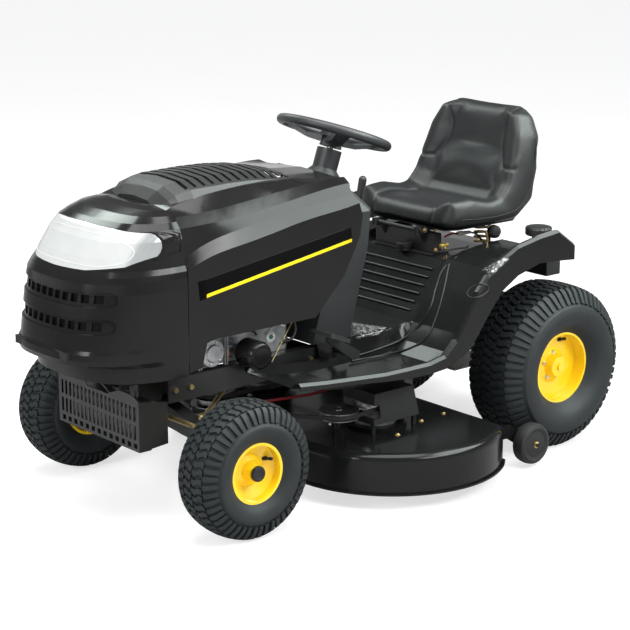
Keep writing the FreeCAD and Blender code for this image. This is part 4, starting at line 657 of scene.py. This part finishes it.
def seat_cover():
    """The vinyl cushion: the CAD form shrunk, inflated as cloth between its pinned seams, then smoothed."""
    node = NODES["seat_cushion"]
    low_corner, high_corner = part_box("seat_cushion")
    mesh = node.data.copy()
    cushion = bpy.data.objects.new("seat_cover", mesh)
    bpy.context.scene.collection.objects.link(cushion)
    mesh.transform(node.matrix_world)
    centre = (low_corner + high_corner) / 2
    for vertex in mesh.vertices:
        vertex.co.x = centre.x + (vertex.co.x - centre.x) * 0.975
    remesh = cushion.modifiers.new("remesh", "REMESH")
    remesh.mode = "VOXEL"
    remesh.voxel_size = 0.0055
    apply(cushion, remesh)
    soften = cushion.modifiers.new("soften", "SMOOTH")
    soften.factor = 0.5
    soften.iterations = 12
    apply(cushion, soften)
    mesh = cushion.data
    rest = [vertex.co.copy() for vertex in mesh.vertices]
    normals = [vertex.normal.copy() for vertex in mesh.vertices]
    inflate(cushion, rest, normals, low_corner)
    shape = cushion.data
    for vertex, normal in zip(shape.vertices, normals):
        depth = crease(vertex.co, normal, low_corner)
        if depth:
            vertex.co -= normal * depth
    divide = cushion.modifiers.new("divide", "SUBSURF")
    divide.levels = divide.render_levels = 1
    apply(cushion, divide)
    for face in cushion.data.polygons:
        face.use_smooth = True
    cushion.data.materials.clear()
    cushion.data.materials.append(VINYL)
    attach(cushion, "seat")
    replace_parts(cushion, "seat_cushion")
    return cushion


def apply(thing, modifier):
    """Makes a modifier's result the object's own mesh."""
    with bpy.context.temp_override(object=thing, active_object=thing, selected_objects=[thing]):
        bpy.ops.object.modifier_apply(modifier=modifier.name)


def seam_distance(place, low_corner):
    """How far a point of the cushion lies from the nearest sewn line, in metres."""
    across = abs(place.x - CENTRE_X)
    along = place.y - low_corner.y
    height = place.z - low_corner.z
    if height < 0.1:
        line = 0.128 + 0.02 * math.sin(min(along / 0.24, 1) * math.pi)
        return abs(across - line) if along < 0.2 else 1
    hook = 0.158
    share = max((height - hook) / 0.16, 0)
    line = 0.15 - 0.03 * math.sin(min(share, 1) * math.pi) - 0.012 * share
    if height < hook:
        return math.hypot(max(line - across, 0), hook - height)
    return min(abs(across - line), math.hypot(max(line - across, 0), height - hook))


def fold_distance(place, low_corner):
    """How far a point lies from the fold between the seat pad and the back, in metres."""
    if abs(place.x - CENTRE_X) > 0.2:
        return 1
    return abs((place.y - low_corner.y - 0.235) * 0.6 - (place.z - low_corner.z - 0.062) * 0.8)


def faces_rider(normal):
    """Whether a point of the cushion looks up or forward."""
    return normal.z * 0.75 - normal.y * 0.66 > 0.25


def crease(place, normal, low_corner):
    """Depth of the sewn groove at a point."""
    if not faces_rider(normal):
        return 0
    distance = seam_distance(place, low_corner)
    return 0.004 * math.exp(-(distance / 0.0055) ** 2)


def inflate(cushion, rest, normals, low_corner):
    """Blows the cushion up as cloth for 20 frames and keeps what it gained within a cap."""
    pinned = cushion.vertex_groups.new(name="pinned")
    for index, (place, normal) in enumerate(zip(rest, normals)):
        under = normal.z < -0.6 and place.z < low_corner.z + 0.08
        held = min(seam_distance(place, low_corner), fold_distance(place, low_corner)) < 0.0045
        if under or (faces_rider(normal) and held):
            pinned.add([index], 1.0, "REPLACE")
    cloth = cushion.modifiers.new("cloth", "CLOTH")
    cloth.settings.quality = 6
    cloth.settings.mass = 0.3
    cloth.settings.tension_stiffness = 12
    cloth.settings.compression_stiffness = 12
    cloth.settings.shear_stiffness = 5
    cloth.settings.bending_stiffness = 0.6
    cloth.settings.use_pressure = True
    cloth.settings.uniform_pressure_force = 3
    cloth.settings.vertex_group_mass = "pinned"
    cloth.settings.effector_weights.gravity = 0
    cloth.collision_settings.use_collision = False
    cloth.point_cache.frame_start = 1
    cloth.point_cache.frame_end = 20
    scene = bpy.context.scene
    for step in range(1, 21):
        scene.frame_set(step)
    apply(cushion, cloth)
    scene.frame_set(1)
    cap = 0.016
    for vertex, start in zip(cushion.data.vertices, rest):
        moved = vertex.co - start
        if moved.length > cap:
            vertex.co = start + moved * (cap / moved.length)
    cushion.vertex_groups.clear()
    even = cushion.modifiers.new("even", "SMOOTH")
    even.factor = 0.5
    even.iterations = 16
    apply(cushion, even)


cover = seat_cover()


def seat_piping():
    """The welt round the cushion's edge on each side and over its top."""
    shape = cover.data
    surface = BVHTree.FromPolygons([cover.matrix_world @ vertex.co for vertex in shape.vertices],
                                   [tuple(face.vertices) for face in shape.polygons])
    low_corner = low("seat_cushion")
    path = [(0.012, 0.03), (0.06, 0.03), (0.14, 0.026), (0.22, 0.027), (0.29, 0.042), (0.335, 0.09), (0.358, 0.16),
            (0.378, 0.24), (0.384, 0.29)]
    for sign in (1, -1):
        line = []
        for along, height in path:
            start = Vector((CENTRE_X + sign * 0.4, low_corner.y + along, low_corner.z + height))
            place = landing(surface, start, (-sign, 0, 0), -0.0004)
            if place is not None:
                line.append(place)
        tube("seat_piping_" + ("left" if sign > 0 else "right"), line, 0.0016, BELT, "seat", 8)


seat_piping()


# ---------------------------------------------------------------- details placed by the photograph

AZIMUTH, ELEVATION, DISTANCE = math.radians(49.72), math.radians(14.455), 5.659
AIM = Vector((CENTRE_X - 0.0143, 0.0562, 0.4343))
BACK = Vector((math.sin(AZIMUTH) * math.cos(ELEVATION), -math.cos(AZIMUTH) * math.cos(ELEVATION),
               math.sin(ELEVATION)))
RIGHT = Vector((math.cos(AZIMUTH), math.sin(AZIMUTH), 0))
UP = BACK.cross(RIGHT)
FOCAL = 1888.8


def seen(surface, across, down, lift=0.0):
    """The point of a surface that the photograph shows at a pixel."""
    way = (RIGHT * (across - 315) + UP * (315 - down) - BACK * FOCAL).normalized()
    return landing(surface, AIM + BACK * DISTANCE, way, lift)


def seen_line(name, surface, pixels, radius, material, body, lift=0.0, closed=False):
    """A tube over a surface through pixels of the photograph."""
    points = [place for place in (seen(surface, *pixel, lift) for pixel in pixels) if place is not None]
    return tube(name, points, radius, material, body, closed=closed)


def seen_patch(name, surface, corners, material, body, lift, cells=8):
    """A thin sheet on a surface between four pixels of the photograph."""
    points, faces = [], []
    first, second, third, fourth = corners
    for row in range(cells + 1):
        for column in range(cells + 1):
            down, along = row / cells, column / cells
            pixel = [(first[k] * (1 - along) + second[k] * along) * (1 - down)
                     + (fourth[k] * (1 - along) + third[k] * along) * down for k in (0, 1)]
            place = seen(surface, *pixel, lift)
            points.append(place if place is not None else points[-1])
    for row in range(cells):
        for column in range(cells):
            base = row * (cells + 1) + column
            faces.append((base, base + 1, base + cells + 2, base + cells + 1))
    thing = piece(name, points, faces, material, body, 60)
    thick = thing.modifiers.new("thickness", "SOLIDIFY")
    thick.thickness = 0.0006
    return thing


def mirrored(thing, name, body):
    """A copy of a piece on the other side of the middle plane."""
    mesh = thing.data.copy()
    matrix = thing.matrix_world.copy()
    for vertex in mesh.vertices:
        place = matrix @ vertex.co
        vertex.co = Vector((2 * CENTRE_X - place.x, place.y, place.z))
    mesh.flip_normals()
    copy = bpy.data.objects.new(name, mesh)
    bpy.context.scene.collection.objects.link(copy)
    for modifier in thing.modifiers:
        if modifier.type == "SOLIDIFY":
            thick = copy.modifiers.new(modifier.name, "SOLIDIFY")
            thick.thickness = modifier.thickness
    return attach(copy, body)


def hood_decals():
    """The plain black panel with its plain yellow stripe on both sides of the hood."""
    surface = skin("hood_shell")
    panel = seen_patch("decal_left", surface, [(198, 282), (351, 227), (352, 241), (200, 301)], DECAL, "hood", 0.0004,
                       16)
    stripe = seen_patch("stripe_left", surface, [(207, 294.5), (352, 238.6), (352, 241.8), (207, 298)], STRIPE,
                        "hood", 0.0012, 16)
    mirrored(panel, "decal_right", "hood")
    mirrored(stripe, "stripe_right", "hood")


def lens_ends():
    """The nose's frame round the lens's rounded ends."""
    surface = skin("headlight_lens", "nose_panel", "hood_shell")
    inner = [(149, 232.4), (155, 234.6), (159.5, 238.4), (162, 243), (162.3, 248), (160.5, 252.8), (157, 256.6),
             (152, 260.2)]
    outer = [(149, 231.6), (160, 231.8), (172, 231.6), (180.5, 233), (181, 241), (181, 251.5), (171, 254.6),
             (154, 260.9)]
    points, faces = [], []
    for (x, y), (far_x, far_y) in zip(inner, outer):
        for step in range(7):
            share = step / 6
            place = seen(surface, x + (far_x - x) * share, y + (far_y - y) * share, 0.0012)
            points.append(place if place is not None else points[-1])
    for row in range(7):
        for step in range(6):
            base = row * 7 + step
            faces.append((base, base + 1, base + 8, base + 7))
    frame_end = piece("lens_end_left", points, faces, GLOSS, "hood", 50)
    thick = frame_end.modifiers.new("thickness", "SOLIDIFY")
    thick.thickness = 0.001
    mirrored(frame_end, "lens_end_right", "hood")


def shade_sheets():
    """Black sheets behind the grille and under the louvres: painted shade seen through their openings."""
    surface = skin("nose_panel")
    points, faces = [], []
    columns = [-205 + 410 * step / 24 for step in range(25)]
    heights = (566, 632, 698)
    for height in heights:
        for across in columns:
            front = landing(surface, spot(across, -700, 624), (0, 1, 0))
            back = 0.017 + (height - 624) * 0.00017
            points.append(Vector((front.x, front.y + back, height / 1000)))
    for row in range(len(heights) - 1):
        for column in range(24):
            base = row * 25 + column
            faces.append((base, base + 1, base + 26, base + 25))
    piece("grille_shade_sheet", points, faces, SHADE_SHEET, "hood", 60)
    points, faces = [], []
    for along, height in ((12, 903), (80, 911), (150, 915), (232, 914), (300, 908), (366, 897), (392, 886)):
        for step in range(9):
            across = -134 + 268 * step / 8
            points.append(spot(across, along, height - across * across * 0.0009))
    for row in range(6):
        for step in range(8):
            base = row * 9 + step
            faces.append((base, base + 1, base + 10, base + 9))
    piece("louver_shade_sheet", points, faces, SHADE_SHEET, "hood", 60)


# Near-black matte sheet material: painted shade behind the grille holes and louvre slots.
SHADE_SHEET = finish("painted_shade_black", (0.003, 0.003, 0.003), 0.7, specular=0.1, grain=900, vary=0.2)
hood_decals()
lens_ends()
shade_sheets()


def tread_plate():
    """Bright worn diamond tread on black paint."""
    made, tree, shader = new_material("tread_plate")
    place = tree.nodes.new("ShaderNodeTexCoord")
    cells = tree.nodes.new("ShaderNodeTexVoronoi")
    cells.feature = "F1"
    cells.inputs["Scale"].default_value = 95
    tree.links.new(place.outputs["Object"], cells.inputs["Vector"])
    colours = ramp(tree, cells.outputs["Distance"], [(0.35, (0.3, 0.31, 0.31)), (0.55, (0.02, 0.021, 0.021))])
    tree.links.new(colours, shader.inputs["Base Color"])
    shader.inputs["Roughness"].default_value = 0.38
    slow = noise(tree, 30, 3)
    tree.links.new(span(tree, slow.outputs["Fac"], 0.3, 0.45), shader.inputs["Roughness"])
    bump(tree, shader, cells.outputs["Distance"], 0.0015, 0.6)
    return made


TREAD = tread_plate()


def fender_details():
    """Rolled beads beside the riser, tread patches and the slot's lip."""
    surface = skin("fender_deck")
    seen_line("fender_bead", surface, [
        (457, 257), (443, 270), (436, 287), (430, 308), (419, 326), (406, 337), (384, 347), (350, 358)],
        0.0042, FENDER, "chassis")
    seen_line("fender_bead_outer", surface, [
        (449, 264), (443, 293), (435, 320), (426, 338), (413, 347), (388, 354), (352, 361)],
        0.0034, FENDER, "chassis")
    seen_patch("riser_tread", surface, [(348, 322), (392, 328), (377, 335), (357, 339)], TREAD, "chassis", 0.001)
    seen_patch("fender_tread", surface, [(482, 270), (505, 256), (510, 259), (493, 275)], TREAD, "chassis", 0.001)
    ring = []
    for step in range(24):
        turn = 2 * math.pi * step / 24
        ring.append((478 + 10.5 * math.cos(turn) - 1.5 * math.sin(turn), 291 + 6.5 * math.sin(turn)
                     - 2 * math.cos(turn)))
    seen_line("slot_lip", surface, ring, 0.0026, BELT, "chassis", 0, True)


def engine_details():
    """Cast cover, breather tube, throttle linkage and wiring on the engine's left side."""
    surface = skin("engine_block", "blower_housing")
    out = Vector((1, 0, 0))
    face = landing(surface, spot(400, 60, 455), (-1, 0, 0))
    cover = Vector((face.x, spot(0, 62, 0).y, 0.452))
    lathe("crank_cover", cover, out, [
        (-0.002, 0.04), (0.008, 0.04), (0.011, 0.037), (0.011, 0.026), (0.016, 0.022), (0.017, 0.0)],
        CAST, "chassis", 40)
    for index in range(6):
        turn = math.radians(60 * index + 12)
        bolt("cover_bolt_%d" % index, cover + Vector((0.011, math.cos(turn) * 0.032, math.sin(turn) * 0.032)), out,
             0.0045, STEEL, "chassis", False)
    for index, along in enumerate((14, 22, 104, 112)):
        block("crank_rib_%d" % index, Vector((face.x - 0.001, spot(0, along, 0).y, 0.41)),
              Vector((face.x + 0.009, spot(0, along + 3, 0).y, 0.5)), CAST, "chassis", 0.0008)
    tube("breather_tube", [spot(158, 122, 462), spot(166, 122, 452), spot(166, 122, 424), spot(158, 122, 412)],
         0.0045, COPPER, "chassis")
    disc = Vector((face.x + 0.012, spot(0, 262, 0).y, 0.466))
    lathe("governor_disc", disc, out, [(-0.012, 0.006), (0, 0.006), (0, 0.016), (0.003, 0.016), (0.004, 0.012),
                                       (0.004, 0.0)], PALE, "chassis", 28)
    lathe("governor_cap", disc + out * 0.004, out, [(0, 0.0065), (0.003, 0.006), (0.0035, 0.0)], GREEN, "chassis", 20)
    tube("throttle_rod", [spot(176, 356, 506), spot(188, 262, 392)], 0.0018, GOLD, "chassis", 8, False)
    tube("governor_arm", [spot(158, 262, 468), spot(160, 300, 486), spot(158, 336, 478)], 0.0025, STEEL, "chassis")
    tube("engine_lead", [spot(150, 40, 512), spot(166, 120, 503), spot(168, 210, 488), spot(152, 236, 470)], 0.003,
         BELT, "chassis")
    tube("fuel_hose", [spot(60, 380, 520), spot(120, 396, 480), spot(150, 372, 440), spot(142, 330, 424)], 0.0042,
         BELT, "chassis")
    tube("clutch_rod", [spot(150, 255, 268), spot(150, 440, 254), spot(150, 620, 262)], 0.0042, WIRE_RED,
         "chassis", 8, False)


def under_seat_details():
    """Switch leads, connectors, caps and bolts between the seat and its deck."""
    for index, (across, along, height) in enumerate(((131, 950, 606), (131, 990, 606), (108, 926, 668))):
        bolt("seat_bolt_%d" % index, spot(across, along, height), Vector((1, 0, 0)), 0.0065, GOLD, "chassis")
    lathe("yellow_connector", spot(132, 966, 618), Vector((0, 1, 0)), [
        (0, 0.0055), (0.011, 0.0055), (0.012, 0.0035), (0.024, 0.0035), (0.025, 0.005), (0.034, 0.0045),
        (0.035, 0.002)], BRASS, "chassis", 12)
    tube("seat_lead_red", [spot(126, 992, 642), spot(130, 1020, 648), spot(132, 1040, 646)], 0.003, WIRE_RED,
         "chassis")
    lathe("seat_connector", spot(132, 1040, 646), Vector((0, 1, -0.05)), [
        (0, 0.0065), (0.022, 0.0075), (0.024, 0.005), (0.03, 0.005), (0.031, 0.0062), (0.055, 0.005)],
        PALE, "chassis", 14)
    tube("seat_lead", [spot(132, 1094, 643), spot(134, 1120, 634), spot(126, 1150, 612), spot(120, 1170, 596)], 0.003,
         BELT, "chassis")
    tube("lead_loop", [spot(118, 962, 598), spot(150, 950, 604), spot(160, 1000, 608), spot(150, 1060, 602),
                       spot(120, 1100, 597)], 0.003, BELT, "chassis")
    tube("park_rod", [spot(178, 1114, 652), spot(180, 1118, 642), spot(182, 1120, 596)], 0.0038, GOLD, "chassis")
    lathe("deck_cap", spot(20, 925, 594), Vector((0, 0, 1)), [
        (0, 0.022), (0.01, 0.022), (0.012, 0.026), (0.022, 0.026), (0.025, 0.02), (0.025, 0.0)], DULL, "chassis", 28)
    lathe("height_knob", spot(170, 1150, 645), Vector((1, -0.3, 0.1)), [
        (-0.01, 0.008), (0.0, 0.016), (0.012, 0.021), (0.024, 0.02), (0.03, 0.012), (0.031, 0.0)],
        DULL, "chassis", 24)
    tube("knob_stem", [spot(172, 1152, 645), spot(150, 1160, 620), spot(146, 1164, 594)], 0.005, FRAME, "chassis")


def deck_details():
    """Bolts on the mower deck and cap nuts on the blade spindles and the idler."""
    surface = skin("deck_shell")
    for index, (across, along) in enumerate(((340, 700), (180, 690), (190, 480), (390, 560), (-190, 480), (-180, 690),
                                             (330, 800), (-60, 840), (60, 840), (100, 360), (-100, 360))):
        place = landing(surface, spot(across, along, 900), (0, 0, -1))
        if place is not None:
            bolt("deck_bolt_%d" % index, place, Vector((0, 0, 1)), 0.0065, GOLD if index % 3 == 0 else STEEL, "deck")
    for side in ("left", "right"):
        centre = pivot("blade_spin_" + side)
        top = high("blade_spindle_" + side).z
        bolt("spindle_nut_" + side, Vector((centre.x, centre.y, top)), Vector((0, 0, 1)), 0.012, GOLD,
             "blade_" + side)
    idler = pivot("idler_spin")
    bolt("idler_nut", Vector((idler.x, idler.y, high("idler_pulley").z)), Vector((0, 0, 1)), 0.009, STEEL, "idler")


GREEN = finish("cap_green", (0.01, 0.12, 0.09), 0.4, grain=300)
fender_details()
engine_details()
under_seat_details()
deck_details()


def control_details():
    """Pedal pad ribs and fuel cap grips."""
    pad = skin("brake_pedal")
    for index in range(5):
        share = index / 4
        first = seen(pad, 322 + 22 * share, 344 + 8 * share, 0.0012)
        last = seen(pad, 324 + 22 * share, 350 + 6 * share, 0.0012)
        if first is not None and last is not None and (first - last).length < 0.06:
            tube("pedal_rib_%d" % index, [first, last], 0.0016, BELT, "brake_pedal", 6, False)
    cap_low, cap_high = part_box("fuel_cap")
    centre = (cap_low + cap_high) / 2
    radius = (cap_high.x - cap_low.x) / 2
    for index in range(18):
        turn = 2 * math.pi * index / 18
        out = Vector((math.cos(turn), math.sin(turn), 0))
        base = Vector((centre.x, centre.y, cap_high.z - 0.015)) + out * (radius - 0.002)
        tube("cap_grip_%d" % index, [base, base + Vector((0, 0, 0.01))], 0.0016, DULL, "chassis", 6, False)


control_details()


# ---------------------------------------------------------------- stage

def studio_floor():
    """A pale floor that keeps the object's shadow."""
    made, tree, shader = new_material("studio_floor")
    tree.nodes.remove(shader)
    output = tree.nodes["Material Output"]
    diffuse = tree.nodes.new("ShaderNodeBsdfDiffuse")
    grain = noise(tree, 2, 2)
    colours = ramp(tree, grain.outputs["Fac"], [(0.3, (0.5, 0.5, 0.5)), (0.7, (0.51, 0.51, 0.51))])
    tree.links.new(colours, diffuse.inputs["Color"])
    glow = tree.nodes.new("ShaderNodeEmission")
    path = tree.nodes.new("ShaderNodeLightPath")
    lift = tree.nodes.new("ShaderNodeMath")
    lift.operation = "MULTIPLY"
    lift.inputs[1].default_value = 0.66
    tree.links.new(path.outputs["Is Camera Ray"], lift.inputs[0])
    tree.links.new(lift.outputs[0], glow.inputs["Strength"])
    both = tree.nodes.new("ShaderNodeAddShader")
    tree.links.new(diffuse.outputs[0], both.inputs[0])
    tree.links.new(glow.outputs[0], both.inputs[1])
    tree.links.new(both.outputs[0], output.inputs["Surface"])
    bpy.ops.mesh.primitive_plane_add(size=60, location=(0, 0, 0))
    floor = bpy.context.object
    floor.name = "floor"
    floor.data.materials.append(made)


def studio_world():
    """White behind the object and in its reflections, darker overhead, and an even fill for the rest."""
    world = bpy.data.worlds.new("studio")
    bpy.context.scene.world = world
    world.use_nodes = True
    tree = world.node_tree
    background = tree.nodes["Background"]
    path = tree.nodes.new("ShaderNodeLightPath")
    looked_at = None
    for ray in ("Is Camera Ray", "Is Glossy Ray", "Is Transmission Ray"):
        if looked_at is None:
            looked_at = path.outputs[ray]
            continue
        either = tree.nodes.new("ShaderNodeMath")
        either.operation = "MAXIMUM"
        tree.links.new(looked_at, either.inputs[0])
        tree.links.new(path.outputs[ray], either.inputs[1])
        looked_at = either.outputs[0]
    place = tree.nodes.new("ShaderNodeTexCoord")
    split = tree.nodes.new("ShaderNodeSeparateXYZ")
    tree.links.new(place.outputs["Generated"], split.inputs[0])
    sky = ramp(tree, split.outputs["Z"], [(0.06, (1, 1, 1)), (0.3, (0.16, 0.165, 0.17))])
    mixer = tree.nodes.new("ShaderNodeMix")
    mixer.data_type = "RGBA"
    mixer.inputs["A"].default_value = (0.5, 0.505, 0.51, 1)
    tree.links.new(looked_at, mixer.inputs["Factor"])
    tree.links.new(sky, mixer.inputs["B"])
    tree.links.new(mixer.outputs["Result"], background.inputs["Color"])


def softbox(name, place, aim, width, length, power, shine_only=False):
    """A rectangular studio lamp; one that is for shine only shows only in reflections."""
    data = bpy.data.lights.new(name, "AREA")
    data.shape = "RECTANGLE"
    data.size = width
    data.size_y = length
    data.energy = power
    lamp = bpy.data.objects.new(name, data)
    bpy.context.scene.collection.objects.link(lamp)
    lamp.location = place
    lamp.rotation_euler = (Vector(aim) - Vector(place)).to_track_quat("-Z", "Y").to_euler()
    lamp.visible_diffuse = not shine_only
    if shine_only:
        data.color = (0.9, 1.0, 0.95)


def photo_camera():
    """The camera at the photograph's angle."""
    data = bpy.data.cameras.new("camera")
    data.lens = FOCAL / 630 * 36
    data.sensor_width = 36
    camera = bpy.data.objects.new("camera", data)
    bpy.context.scene.collection.objects.link(camera)
    camera.location = AIM + BACK * DISTANCE
    camera.rotation_euler = BACK.to_track_quat("Z", "Y").to_euler()
    bpy.context.scene.camera = camera


studio_floor()
studio_world()
softbox("top", (0.6, -0.4, 4.0), (0, 0, 0.3), 3.2, 3.2, 260)
softbox("key", (4.2, 0.8, 3.4), (0, 0, 0.4), 2.6, 1.2, 170)
softbox("front", (0.8, -4.6, 2.2), (0, -0.4, 0.5), 1.6, 1.6, 110)
softbox("bands", (1.9, 1.95, 2.95), (0.3, -0.3, 0.8), 2.6, 2.3, 270, True)
softbox("crown", (-2.5, -0.1, 3.2), (0.1, -0.7, 0.8), 1.4, 1.4, 60, True)
photo_camera()
bpy.context.scene.view_settings.view_transform = "Standard"
